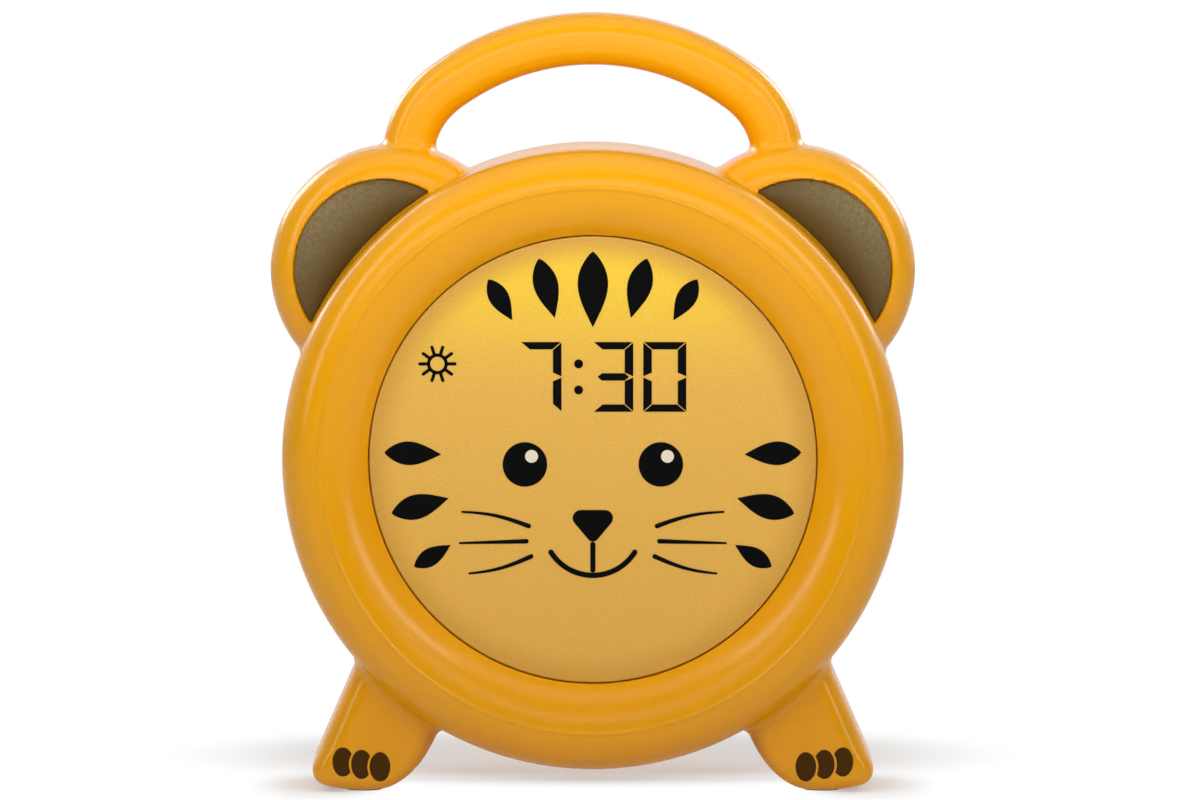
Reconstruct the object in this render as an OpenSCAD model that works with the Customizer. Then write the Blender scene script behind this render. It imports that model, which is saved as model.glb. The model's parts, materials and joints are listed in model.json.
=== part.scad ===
// Kids' alarm clock with night light: a round body with two ears, two paws
// and a carrying handle, a lit face behind a tinted window, and the keys,
// speaker, power inlet and battery box at the back.
//
// Pieces are drawn in front elevation: X to the right, Y up from the middle
// of the face, Z towards the viewer, from the parting line of the two shells.
// upright() stands them on the table over the middle of their footprint.

/* [Body] */
// Outer radius of the round body
body_r = 65.4; // [64.4:0.1:66.4]
// Gap between the round body and the table
ground_gap = 5.2; // [4.2:0.1:6.2]
// Depth of the round body from front ring to back
body_d = 58; // [56:0.5:64]
// Wall thickness of the moulded shells
wall = 2.2; // [1.8:0.1:2.6]
// Width of the rounded ring round the face
ring_w = 9.4; // [8.6:0.1:10]
// Rounding radius of the ring
ring_round = 5.5; // [5:0.1:6.5]
// Rounding radius of the back edge
back_round = 10; // [8:0.5:11]
// Height of the locating lip at the parting line
lip_h = 2.4; // [1.5:0.1:3]
// Width of the shadow line between the two shells
shadow_w = 0.5; // [0.3:0.1:0.8]

/* [Window] */
// Width of the sloping ring round the window
bezel_w = 8.7; // [8:0.1:9.2]
// Depth of the window's seat below the front ring
seat_drop = 11; // [10:0.1:12]
// Thickness of the window's clamped edge
lens_edge_t = 1.6; // [1.2:0.1:2]
// Width of the window's clamped edge
lens_edge_w = 2.7; // [2:0.1:3.4]
// Thickness of the window
lens_t = 3.6; // [3:0.1:4]
// Dark gap round the window
window_gap = 0.6; // [0.4:0.1:0.9]
// Hollow of the bezel's sloping face
bezel_sag = 0.8; // [0.4:0.1:1.2]

/* [Ears] */
// Distance of an ear's centre inside the side of the round body
ear_in = 23.4; // [22.1:0.1:24.6]
// Distance of an ear's centre below the top of the round body
ear_down = 26.1; // [25.2:0.1:27.2]
// Radius of an ear
ear_r = 26.1; // [25:0.1:27]
// Thickness of an ear
ear_d = 28; // [26:0.5:32]
// Rounding radius of an ear's rim
ear_round = 5; // [4:0.1:6]
// Radius of the dark inlay
inlay_r = 19.1; // [18:0.1:19.6]
// Outward shift of the inlay from the ear's centre
inlay_shift = 2.1; // [1.7:0.1:2.6]
// Upward shift of the inlay from the ear's centre
inlay_lift = 0.3; // [0:0.1:0.6]
// Depth of the inlay's pocket
inlay_pocket = 1.4; // [1.2:0.1:1.6]
// Thickness of the inlay
inlay_t = 1; // [0.8:0.1:1.2]

/* [Handle] */
// Distance of the bar's middle inside the ear's centre, where it springs
handle_in = 2.9; // [2:0.1:3.9]
// Height at which the arch springs, above the ear's centre
handle_up = 23.1; // [21.9:0.1:24.3]
// Rise of the arch above its springing
handle_rise = 25.6; // [24:0.1:27]
// Width of the bar
handle_w = 10.9; // [10:0.1:12]
// Depth of the bar
handle_d = 16; // [14:0.5:18]
// Rounding radius of the bar's edges
handle_round = 4.6; // [4:0.1:5]
// Wall thickness of the bar
handle_wall = 1.9; // [1.6:0.1:2.2]

/* [Paws] */
// Distance of a leg's axis inside the side of the round body
leg_in = 20.5; // [19.4:0.1:21.4]
// Height above the table at which leg_in is measured
leg_h = 12; // [11:0.1:13]
// Outward lean of a leg in degrees
leg_tilt = 23.5; // [22:0.5:25]
// Width of a leg
leg_w = 21.2; // [20.4:0.1:22]
// Depth of a leg, front to back
leg_d = 40; // [38:0.5:44]
// Rounding radius along a leg's edges
leg_round = 4.2; // [3.5:0.1:4.5]
// Radius of the paw's outer corner
paw_outer_r = 5; // [4.5:0.1:6]
// Radius of the paw's inner corner
paw_inner_r = 11; // [9:0.5:12]
// Width of a toe
toe_w = 4.5; // [4:0.1:4.6]
// Height of a toe
toe_h = 6.3; // [6:0.1:6.8]
// Spacing of the toes
toe_pitch = 3.9; // [3.7:0.1:4.1]
// Thickness of the toe inlays
toe_t = 0.8; // [0.6:0.1:1]
// Height by which the toes stand proud
toe_proud = 0.2; // [0.1:0.1:0.4]
// Gap line between toes
toe_gap = 0.35; // [0.3:0.05:0.5]
// Thickness of a rubber foot pad
pad_t = 1.4; // [1.2:0.1:1.8]
// Height by which a pad stands below the paw
pad_proud = 0.5; // [0.3:0.1:0.7]
// Width of a foot pad
pad_w = 7.4; // [6.8:0.1:7.8]
// Length of a foot pad, front to back
pad_l = 28; // [24:0.5:30]

/* [Keys] */
// Distance of the keys inside the side of the round body
key_in = 24.4; // [23.4:0.1:25.4]
// Angle between neighbouring keys
key_step = 21; // [20:0.5:22]
// Radius of a key's cap
key_r = 4.2; // [3.8:0.1:4.5]
// Height by which a key stands out of the back
key_proud = 1.4; // [1.2:0.1:1.8]
// Travel of a key
key_travel = 0.8; // [0.5:0.1:0.9]
// Running gap round moving keys and knobs
run_gap = 0.2; // [0.15:0.01:0.3]
// Travel of the alarm switch
switch_travel = 4; // [3:0.5:4]
// Width of the alarm switch's knob
knob_w = 4.6; // [4:0.1:5]
// Length of the alarm switch's knob
knob_l = 4; // [3.5:0.1:4.5]
// Distance of the switch and the inlet inside the side of the round body
side_in = 24.4; // [23.4:0.1:25.4]
// Depth of the switch and the inlet below the middle of the face
side_y = 8; // [7:0.5:9]

/* [Speaker] */
// Radius of the speaker
speaker_r = 14; // [13:0.5:14]
// Height of the speaker's centre above the middle of the face
speaker_y = 14; // [14:0.5:15]
// Radius of a sound hole
sound_hole_r = 1.1; // [0.9:0.1:1.3]
// Spacing of the rings of sound holes
sound_pitch = 4.2; // [4:0.1:4.4]

/* [Batteries] */
// Diameter of a cell
cell_d = 10.5; // [10.5:0.1:10.7]
// Length of a cell
cell_l = 44.5; // [44:0.1:45]
// Number of cells
cell_count = 3; // [2:1:3]
// Room for a contact at each end of a cell
contact_room = 2.6; // [2.4:0.1:3]
// Wall thickness of the battery box
box_wall = 1.5; // [1.2:0.1:1.8]
// Distance of the battery box's centre below the middle of the face
box_y = 26; // [26:0.5:27]
// Width of the battery door
door_w = 56; // [55:0.5:57]
// Height of the battery door
door_h = 42; // [41.5:0.5:42.5]
// Distance of the door's centre below the middle of the face
door_y = 25; // [25:0.5:25.5]
// Thickness of the battery door
door_t = 1.8; // [1.6:0.1:2]
// Corner radius of the battery door
door_round = 3; // [2:0.5:4]

/* [Inside] */
// Thickness of the circuit boards
board_t = 1.6; // [1.2:0.1:1.6]
// Gap between the main board and the shell's wall
board_gap = 8.2; // [7.2:0.1:8.7]
// Distance of the main board's screws inside its edge
board_screw_in = 3; // [2.6:0.1:3.5]
// Height of the main board's front above the parting line
board_z = 1.5; // [1.2:0.1:2]
// Wall thickness of the white light tray
tray_t = 1.5; // [1.2:0.1:1.8]
// Thickness of the diffuser
diffuser_t = 1.5; // [1.2:0.1:1.8]
// Width of the display glass
lcd_w = 60; // [58:0.5:61]
// Height of the display glass
lcd_h = 17; // [16:0.5:18]
// Thickness of the display glass
lcd_t = 1.8; // [1.5:0.1:1.9]
// Gap between the display's frame and the side of the window
lcd_edge = 1.2; // [0.8:0.1:1.6]
// Distance of the display's centre below the top of the window
lcd_down = 29.8; // [29.3:0.1:30.3]
// Number of lamps behind the face
led_count = 8; // [6:1:10]
// Radius of the circle of lamps
led_ring_r = 30; // [26:0.5:34]
// Radius of a lamp
led_r = 2.5; // [2:0.1:3]

/* [Screws] */
// Shank radius of the housing and door screws
screw_r = 1.2; // [1:0.1:1.4]
// Length of a housing screw's shank
screw_l = 14; // [12:0.5:15]
// Head radius of a housing screw
screw_head_r = 2.8; // [2.5:0.1:3]
// Head height of a housing screw
screw_head_h = 1.8; // [1.6:0.1:2]
// Shank radius of the board screws
small_screw_r = 0.9; // [0.8:0.1:1]
// Radial gap between a screw and its pilot hole
pilot_gap = 0.05; // [0.03:0.01:0.1]

/* [Hidden] */
$fn = 96;

// Clearances between pieces that only lie in each other
seat_gap = 0.1;
over = 1; // how far a cutting tool runs past what it cuts

// Body
face_h = body_r + ground_gap;
front_z = body_d/2;
back_z = -body_d/2;
inner_back_z = back_z + wall;
inner_r = body_r - wall;
pocket_r = body_r - ring_w;
reach = 2*body_r; // size of the blocks that part the two shells
ring_c = body_r - ring_round;
crease_z = front_z - ring_round
  + sqrt(max(0, pow(ring_round, 2) - pow(ring_c - pocket_r, 2)));
shadow_depth = 0.4;
lip_t = 1.2;

// Window stack, front to back
window_r = pocket_r - bezel_w;
seat_z = front_z - seat_drop;
flange_back_z = seat_z - wall;
aperture_r = window_r - window_gap - 0.2;
lens_edge_r = window_r + lens_edge_w;
bezel_r = pocket_r - seat_gap;
bezel_out_z = crease_z - 0.2;
bezel_in_z = seat_z + lens_t + 0.6;
diffuser_r = aperture_r - 0.3;
lcd_front_z = seat_z - seat_gap;
lcd_back_z = lcd_front_z - lcd_t;
diffuser_z = lcd_back_z - diffuser_t;
lcd_frame_w = 1.1;
lcd_y = window_r - lcd_down;
lcd_top = lcd_y + lcd_h/2 + lcd_frame_w;
lcd_left = lcd_edge + lcd_frame_w - sqrt(pow(aperture_r, 2) - pow(lcd_top, 2));
lcd_x = lcd_left + lcd_w/2;

// Ears
ear_x = body_r - ear_in;
ear_y = body_r - ear_down;
inlay_floor_z = ear_d/2 - inlay_pocket;
ear_hollow_front = inlay_floor_z - wall;
inlay_gap = 0.15;
inlay_side_r = body_r + 0.3;

// Handle: a three-centred arch. The line through its centres slopes 4 in 3,
// so that shoulder and crown meet in one plane through both centres.
handle_x = ear_x - handle_in; // half span, to the middle of the bar
handle_y = ear_y + handle_up;
arch_flat = handle_x - handle_rise; // by how much it is lower than a half circle
shoulder_r = handle_rise - arch_flat/2;
shoulder_x = handle_x - shoulder_r;
crown_r = handle_x + arch_flat;
crown_y = handle_y + handle_rise - crown_r;
arch_reach = 50; // size of the wedges that part shoulder and crown
handle_root = 8; // length of the bar inside the ear
handle_hollow_y = ear_y + ear_r + 0.5; // height at which the bar's hollow starts

// Paws
leg_x = body_r - leg_in;
leg_y = face_h - leg_h;
sole_y = -face_h + pad_proud;
leg_top = 20; // length of a leg above its reference point
leg_bottom = 24; // length below it, cut off by the sole
paw_clear = 0.1;
toe_x = leg_x;
toe_y = -face_h + 5.6;
toe_drop = 0.5; // each outer toe stands this much higher
pad_x = leg_x + 3.5;
pad_gap = 0.1;

// Housing screws: one in each ear and each leg
ear_screw_out = [10.3, 9.9]; // from the ear's centre
leg_screw_out = [-0.4, 1.6]; // from the leg's reference point
ear_screw = [ear_x, ear_y] + ear_screw_out;
leg_screw = [leg_x, -leg_y] + leg_screw_out;
boss_r = screw_r + 2.4;
column_r = screw_head_r + 1.8;
well_z = -6; // bottom of a screw's well
well_r = screw_head_r + 0.3;
pilot_r = screw_r + pilot_gap;
clear_r = screw_r + 0.4;
pilot_l = screw_l + well_z + 1;

// Keys
key_arc_r = body_r - key_in;
key_hole_r = key_r + run_gap;
key_flange_r = key_r + 1.2;
key_flange_t = 1;
key_flange_z = inner_back_z + seat_gap;
key_stem_r = 2;
key_edge = 0.6; // rounding of a key's cap
key_room = 7.2; // between the back wall and the rear board
rear_board_z = inner_back_z + key_room;
switch_h = 3.6;
switch_top_z = rear_board_z - switch_h;
switch_w = 6;
plunger_r = 1.7;
plunger_hole_r = plunger_r + 0.08;
plunger_out = key_travel + 0.4;
plunger_in = 1.8;
plunger_top_z = switch_top_z - plunger_out;
plunger_end_z = switch_top_z + plunger_in;
switch_bore_z = plunger_end_z + key_travel + 0.2;
key_angles = [for (i = [0:4]) 90 + (i - 2)*key_step];

// Alarm switch
side_x = body_r - side_in;
knob_proud = 1;
knob_plate_t = 1;
knob_plate_z = inner_back_z + seat_gap;
knob_slot_w = knob_w + 2*run_gap;
knob_slot_l = knob_l + switch_travel + 2*run_gap;
knob_lever = 1.6;
slide_body_h = 4.5;
slide_top_z = rear_board_z - slide_body_h;
slide_body_w = 5;
slide_body_l = 11;
lever_slot_depth = 2;

// Power inlet
usb_w = 8.94;
usb_h = 3.26;
usb_round = 1.6;
usb_skin = 0.3;
usb_mouth_z = inner_back_z - 0.7;
usb_hole_gap = 0.35;

// Rear board
rear_board_w = 16;
rear_board_in = key_arc_r - 7;
rear_board_out = rear_board_in + rear_board_w;
rear_board_from = -25; // angle of its lower end
post_edge = 3; // from a post's middle to the board's outer edge
rear_posts = [
  [rear_board_in + rear_board_w/2, 20], [rear_board_in + rear_board_w/2, 160],
  [rear_board_out - post_edge, 79.5], [rear_board_out - post_edge, 100.5]
];
post_r = 2.6;
small_pilot_r = small_screw_r + pilot_gap;
small_head_r = 1.9;
small_head_h = 1.4;
small_screw_l = 5;
board_screw_l = 7;
small_clear_r = small_screw_r + 0.2;

// Main board and light tray
board_r = inner_r - board_gap;
board_screw_r = board_r - board_screw_in;
board_back_z = board_z - board_t;
tray_floor_z = board_z + tray_t;
tray_r = diffuser_r - 0.1;
tray_wall_top = diffuser_z;
tray_post_r = 3;
tray_posts = [45, 135, 225, 315];
led_hole_r = led_r + 1;
led_flange_r = led_r + 0.4;
led_h = 7;
ribbon_w = 24;
ribbon_t = 0.3;
ribbon_fall = 3.4; // from the display's lower edge to its ribbon's slot
ribbon_slot_y = lcd_y - lcd_h/2 - ribbon_fall;
ribbon_slot_h = 1.5;

// Parts on the back of the main board
chip = [12, 12, 1.8];
chip_at = [0, 30];
driver = [5, 4, 1.5];
driver_at = [16, 36];
capacitor_r = 4;
capacitor_h = 9;
capacitor_at = [-18, 34];
small_can_r = 2.5;
small_can_h = 6;
small_can_at = [30, 20];
power_header = [10, 4, 4];
power_header_at = [0, 44];
ribbon_header = [5, 14, 2.5];
ribbon_header_y = 4;
speaker_header = [8, 5, 4];
speaker_header_at = [36, -26];
cable_t = 0.8; // flat cable between the boards
cable_w = 12;
cable_fold = 1.6;

// Speaker
speaker_flange_t = 1;
gasket_t = 1;
speaker_h = 8;
speaker_rib_t = 1.5;
speaker_rib_h = 3;
gasket_z = inner_back_z + gasket_t;
magnet_r = 8.5;
magnet_h = 4.5;
speaker_back_z = gasket_z + speaker_h;
cone_t = 0.4;

// Batteries
cell_gap = 0.3;
box_w = cell_l + 2*contact_room;
box_h = cell_count*(cell_d + cell_gap);
door_gap = 0.2;
door_in_z = back_z + door_t;
ledge_t = 1.6;
ledge_z = door_in_z + ledge_t;
cell_z = door_in_z + 0.4 + cell_d/2;
box_floor_z = cell_z + cell_d/2 + 0.1;
door_screw_y = -door_y + door_h/2 - 3;
door_boss_r = 3.1;
door_boss_h = 11.5;
door_boss_z = back_z + door_boss_h;
door_screw_l = 7;
door_head_h = 1.1;
door_head_r = 2.4;
grip_w = 16; // grooves for the finger on the door
grip_h = 1;
grip_depth = 0.5;
grip_pitch = 2.4;
grip_y = -door_y - door_h/2 + 8;
contact_t = 0.4;
contact_w = 7;
spring_wire = 0.6;
spring_turns = 3;
spring_r0 = 3.2; // at the plate
spring_r1 = 1.8; // at the cell

// ---------------------------------------------------------------- helpers

module upright() {
  translate([0, -key_proud/2, face_h]) rotate([90, 0, 0]) children();
}

// Both sides of the clock
module both_sides() {
  for (side = [0, 1]) mirror([side, 0, 0]) children();
}

module rounded(w, h, r) {
  square([w - 2*r, h], center=true);
  square([w, h - 2*r], center=true);
  for (x = [-1, 1], y = [-1, 1])
    translate([x*(w/2 - r), y*(h/2 - r)]) circle(r);
}

// Straight bar of a flat shape between two depths
module between(z0, z1) {
  translate([0, 0, z0]) linear_extrude(z1 - z0) children();
}

module disc(r, z0, z1) {
  translate([0, 0, z0]) cylinder(h=z1 - z0, r=r);
}

module front_half() {
  intersection() {
    children();
    translate([-reach, -reach, 0]) cube([2*reach, 2*reach, body_d]);
  }
}

module rear_half() {
  intersection() {
    children();
    translate([-reach, -reach, -body_d]) cube([2*reach, 2*reach, body_d]);
  }
}

// ---------------------------------------------------------- body outlines

// Half section of the round body, taken in by an even wall
module body_section(inset) {
  ring = ring_round - inset;
  back = back_round - inset;
  translate([0, back_z + inset])
    square([body_r - back_round, body_d/2]);
  translate([0, back_z + back_round])
    square([body_r - inset, body_d - back_round - ring_round]);
  translate([0, 0]) square([ring_c, front_z - inset]);
  translate([ring_c, front_z - ring_round]) circle(ring);
  translate([body_r - back_round, back_z + back_round]) circle(back);
}

module round_body() {
  rotate_extrude() difference() {
    intersection() {
      body_section(0);
      translate([0, back_z - over]) square([body_r + over, body_d + 2*over]);
    }
    translate([body_r - shadow_depth, -shadow_w/2])
      square([over + shadow_depth, shadow_w]);
  }
}

// Hollow of the round body: behind the window flange, and up into the ring
module round_hollow() {
  rotate_extrude() intersection() {
    body_section(wall);
    union() {
      translate([0, back_z]) square([body_r, flange_back_z - back_z]);
      translate([pocket_r + wall, back_z]) square([ring_w, body_d]);
    }
  }
}

// Disc with a rounded rim, the form of an ear
module ear_disc(r, z0, z1, edge) {
  translate([ear_x, ear_y, 0]) rotate_extrude() {
    translate([0, z0]) square([r - edge, z1 - z0]);
    translate([0, z0 + edge]) square([r, z1 - z0 - 2*edge]);
    for (z = [z0 + edge, z1 - edge])
      translate([r - edge, z]) intersection() {
        circle(edge);
        translate([-r + edge, -edge]) square([r, 2*edge]);
      }
  }
}

module ear() {
  ear_disc(ear_r, -ear_d/2, ear_d/2, ear_round);
}

module ear_hollow() {
  difference() {
    ear_disc(ear_r - wall, -ear_d/2 + wall, ear_hollow_front, ear_round - wall);
    disc(body_r, -ear_d, ear_d);
  }
}

module inlay_shape(r) {
  translate([ear_x + inlay_shift, ear_y + inlay_lift]) circle(r);
}

// Arch of the handle above a height, with the given bar section
module arch(from_y) {
  u = arch_reach;
  both_sides() intersection() {
    translate([shoulder_x, handle_y, 0]) rotate_extrude()
      translate([shoulder_r, 0]) children();
    between(-handle_d, handle_d) polygon([
      [shoulder_x, handle_y], [shoulder_x + 4*u, handle_y],
      [shoulder_x + 3*u, handle_y + 4*u]
    ]);
    translate([0, from_y, -handle_d]) cube([4*u, 4*u, 2*handle_d]);
  }
  intersection() {
    translate([0, crown_y, 0]) rotate_extrude() translate([crown_r, 0]) children();
    between(-handle_d, handle_d)
      polygon([[0, crown_y], [3*u, crown_y + 4*u], [-3*u, crown_y + 4*u]]);
  }
}

module handle() {
  arch(handle_y) rounded(handle_w, handle_d, handle_round);
  both_sides() translate([handle_x, handle_y, 0]) rotate([90, 0, 0])
    linear_extrude(handle_root) rounded(handle_w, handle_d, handle_round);
}

module handle_hollow() {
  arch(handle_hollow_y)
    rounded(handle_w - 2*handle_wall, handle_d - 2*handle_wall,
            handle_round - handle_wall);
}

// Sideways place of a leg's axis at a height
function leg_axis_x(y) = leg_x + (-y - leg_y)*tan(leg_tilt);

// Centre of a corner circle, on the outer (1) or the inner (-1) side
function paw_corner(r, side, inset) =
  let (y = sole_y + inset + r, p = side*(leg_w/2 + paw_clear - inset - r))
  [leg_axis_x(y) + p/cos(leg_tilt), y];

// Front elevation of a leg with the paw's rounded corners. It is a little
// wider than the leg's bar, so that its circles cross the bar's sides cleanly.
module leg_shape(inset) {
  ro = paw_outer_r - inset;
  ri = paw_inner_r - inset;
  o = paw_corner(ro, 1, inset);
  i = paw_corner(ri, -1, inset);
  out = [cos(leg_tilt), sin(leg_tilt)];
  up = [-sin(leg_tilt), cos(leg_tilt)]*(leg_top + leg_bottom);
  polygon([
    [o.x, sole_y + inset], o + ro*out, o + ro*out + up,
    i - ri*out + up, i - ri*out, [i.x, sole_y + inset]
  ]);
  translate(o) circle(ro);
  translate(i) circle(ri);
}

module leg_bar(inset) {
  translate([leg_x, -leg_y, 0]) rotate([0, 0, leg_tilt]) rotate([90, 0, 0])
    translate([0, 0, -leg_top]) linear_extrude(leg_top + leg_bottom)
      rounded(leg_w - 2*inset, leg_d - 2*inset, leg_round - inset);
}

module leg() {
  intersection() {
    leg_bar(0);
    between(-leg_d, leg_d) leg_shape(0);
  }
}

module leg_hollow() {
  difference() {
    intersection() {
      leg_bar(wall);
      between(-leg_d, leg_d) leg_shape(wall);
    }
    disc(body_r, -leg_d, leg_d);
  }
}

module whole_body() {
  round_body();
  both_sides() {
    ear();
    leg();
  }
  handle();
}

module whole_hollow() {
  round_hollow();
  both_sides() {
    ear_hollow();
    leg_hollow();
  }
  handle_hollow();
}

module toe(i) {
  translate([toe_x + i*toe_pitch, toe_y + i*toe_drop]) children();
}

module toe_oval(grow) {
  rounded(toe_w + 2*grow, toe_h + 2*grow, toe_w/2 + grow - 0.01);
}

// One toe's outline, cut back from the toe in front of it
module toe_shape(i, grow) {
  difference() {
    toe(i) toe_oval(grow);
    if (i > 0) toe(i - 1) toe_oval(toe_gap - grow);
  }
}

module pad_recess() {
  translate([pad_x, 0, 0]) rotate([90, 0, 0])
    between(-sole_y - pad_t + pad_proud, -sole_y + over)
      rounded(pad_w + 2*pad_gap, pad_l + 2*pad_gap, pad_w/2);
}

module at_ear_screws() {
  both_sides() translate([ear_screw.x, ear_screw.y, 0]) children();
}

module at_leg_screws() {
  both_sides() translate([leg_screw.x, leg_screw.y, 0]) children();
}

module at_housing_screws() {
  at_ear_screws() children();
  at_leg_screws() children();
}

// ---------------------------------------------------------------- housings

module front_housing() {
  color("orange") upright() difference() {
    union() {
      difference() {
        front_half() whole_body();
        whole_hollow();
        disc(pocket_r, seat_z, front_z + over);
        disc(aperture_r, 0, seat_z + over);
      }
      at_ear_screws() disc(boss_r, 0, ear_hollow_front + wall/2);
      at_leg_screws() disc(boss_r, 0, leg_d/2 - wall/2);
      for (a = tray_posts) rotate([0, 0, a]) translate([board_screw_r, 0, 0])
        disc(tray_post_r, tray_floor_z, flange_back_z + wall/2);
    }
    at_housing_screws() disc(pilot_r, -over, pilot_l);
    for (a = tray_posts) rotate([0, 0, a]) translate([board_screw_r, 0, 0])
      disc(small_pilot_r, tray_floor_z - over, tray_floor_z + small_screw_l);
    both_sides() {
      between(inlay_floor_z, ear_d) difference() {
        inlay_shape(inlay_r);
        circle(inlay_side_r);
      }
      for (i = [0:2])
        between(leg_d/2 - toe_t + toe_proud, leg_d) toe_shape(i, 0.05);
      pad_recess();
    }
  }
}

module rear_housing() {
  color("orange") upright() difference() {
    union() {
      difference() {
        rear_half() whole_body();
        whole_hollow();
      }
      difference() {
        union() {
          disc(inner_r - seat_gap, -lip_h, lip_h);
          disc(inner_r + wall/2, -lip_h, -shadow_w);
        }
        disc(inner_r - seat_gap - lip_t, -lip_h - over, lip_h + over);
      }
      at_ear_screws() disc(column_r, -ear_d/2 + wall/2, 0);
      at_leg_screws() disc(column_r, -leg_d/2 + wall/2, 0);
      for (p = rear_posts) rotate([0, 0, p[1]]) translate([p[0], 0, 0])
        disc(post_r, inner_back_z - wall/2, rear_board_z);
      speaker_rib();
      battery_box_walls();
    }
    at_housing_screws() {
      disc(well_r, back_z - over, well_z);
      disc(clear_r, back_z, over);
    }
    for (p = rear_posts) rotate([0, 0, p[1]]) translate([p[0], 0, 0])
      disc(small_pilot_r, rear_board_z - small_screw_l, rear_board_z + over);
    for (a = key_angles) rotate([0, 0, a]) translate([key_arc_r, 0, 0])
      disc(key_hole_r, back_z - over, inner_back_z + over);
    sound_holes();
    battery_room();
    translate([-side_x, -side_y, 0]) between(back_z - over, inner_back_z + over)
      rounded(knob_slot_w, knob_slot_l, 0.8);
    translate([side_x, -side_y, 0]) between(back_z - over, inner_back_z + over)
      rounded(usb_w + 2*usb_hole_gap, usb_h + 2*usb_hole_gap, usb_round + usb_hole_gap);
    both_sides() pad_recess();
  }
}

// Ring that centres the speaker on the back wall
module speaker_rib() {
  translate([0, speaker_y, 0]) difference() {
    disc(speaker_r + seat_gap + speaker_rib_t, inner_back_z - wall/2,
         inner_back_z + speaker_rib_h);
    disc(speaker_r + seat_gap, inner_back_z, front_z);
  }
}

module sound_holes() {
  translate([0, speaker_y, 0]) for (ring = [0:2], k = [0:max(0, 6*ring - 1)])
    rotate([0, 0, ring == 0 ? 0 : k*60/ring]) translate([ring*sound_pitch, 0, 0])
      disc(sound_hole_r, back_z - over, inner_back_z + over);
}

// Ledge under the door, the box round the cells and the boss of its screw
module battery_box_walls() {
  intersection() {
    translate([0, -door_y, 0]) between(back_z + wall/2, ledge_z)
      rounded(door_w + 2*wall, door_h + 2*wall, door_round + wall);
    disc(inner_r - back_round/2, back_z, 0);
  }
  translate([0, -box_y, 0]) between(back_z + wall/2, box_floor_z + box_wall)
    square([box_w + 2*box_wall, box_h + 2*box_wall], center=true);
  translate([0, door_screw_y, 0]) disc(door_boss_r, back_z + wall/2, door_boss_z);
}

module battery_room() {
  translate([0, -door_y, 0]) between(back_z - over, door_in_z)
    rounded(door_w + 2*door_gap, door_h + 2*door_gap, door_round + door_gap);
  translate([0, -box_y, 0]) between(back_z, box_floor_z)
    square([box_w, box_h], center=true);
  translate([0, door_screw_y, 0])
    disc(pilot_r, back_z, door_in_z + door_screw_l);
}

// ------------------------------------------------------------- front trim

// Sloping ring round the window: its face is a hollow arc
module bezel_ring() {
  a = [bezel_r, bezel_out_z];
  b = [window_r, bezel_in_z];
  chord = norm(a - b);
  arc_r = chord*chord/(8*bezel_sag) + bezel_sag/2;
  along = (a - b)/chord;
  c = (a + b)/2 + [-along.y, along.x]*(arc_r - bezel_sag);
  lip_z = seat_z + lens_edge_t + seat_gap;
  color("orange") upright() rotate_extrude() difference() {
    polygon([
      a, b, [window_r, lip_z], [lens_edge_r + seat_gap, lip_z],
      [lens_edge_r + seat_gap, seat_z], [bezel_r, seat_z]
    ]);
    translate(c) circle(arc_r);
  }
}

module window_lens() {
  color([0.95, 0.75, 0.3, 0.8]) upright() {
    disc(lens_edge_r, seat_z, seat_z + lens_edge_t);
    disc(window_r - window_gap, seat_z, seat_z + lens_t);
  }
}

module ear_inlay(side) {
  color("#4b3c20") upright() mirror([side, 0, 0])
    between(inlay_floor_z, inlay_floor_z + inlay_t) difference() {
      inlay_shape(inlay_r - inlay_gap);
      circle(inlay_side_r + inlay_gap);
    }
}

module toe_inlays(side) {
  color("#46290f") upright() mirror([side, 0, 0]) for (i = [0:2])
    between(leg_d/2 - toe_t + toe_proud, leg_d/2 + toe_proud) toe_shape(i, 0);
}

module foot_pad(side) {
  color("#2b2622") upright() mirror([side, 0, 0])
    translate([pad_x, 0, 0]) rotate([90, 0, 0])
      between(face_h - pad_t, face_h) rounded(pad_w, pad_l, pad_w/2 - 0.1);
}

// ------------------------------------------------------- light and display

module light_tray() {
  color("white") upright() difference() {
    union() {
      disc(board_r, board_z, tray_floor_z);
      disc(tray_r, board_z, tray_wall_top);
    }
    disc(tray_r - tray_t, tray_floor_z, front_z);
    for (k = [0:led_count - 1]) rotate([0, 0, k*360/led_count])
      translate([led_ring_r, 0, 0]) disc(led_hole_r, 0, front_z);
    for (a = tray_posts) rotate([0, 0, a]) translate([board_screw_r, 0, 0])
      disc(small_clear_r, 0, front_z);
    ribbon_slot();
  }
}

module ribbon_slot() {
  translate([lcd_x, ribbon_slot_y, 0]) between(0, lcd_back_z + over)
    square([ribbon_w + 2, ribbon_slot_h], center=true);
}

module diffuser() {
  color([0.97, 0.97, 0.94]) upright() difference() {
    disc(diffuser_r, diffuser_z, lcd_back_z);
    ribbon_slot();
  }
}

module lcd_panel() {
  color("#8b9a7c") upright() translate([lcd_x, lcd_y, 0])
    between(lcd_back_z, lcd_front_z) square([lcd_w, lcd_h], center=true);
}

module lcd_frame() {
  color("#1c1c1c") upright() translate([lcd_x, lcd_y, 0])
    between(lcd_back_z, lcd_front_z - 0.2) difference() {
      rounded(lcd_w + 2*lcd_frame_w, lcd_h + 2*lcd_frame_w, lcd_frame_w);
      square([lcd_w + 2*seat_gap, lcd_h + 2*seat_gap], center=true);
      translate([0, -lcd_h/2]) square([ribbon_w + 1, 2*lcd_frame_w + 1], center=true);
    }
}

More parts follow.
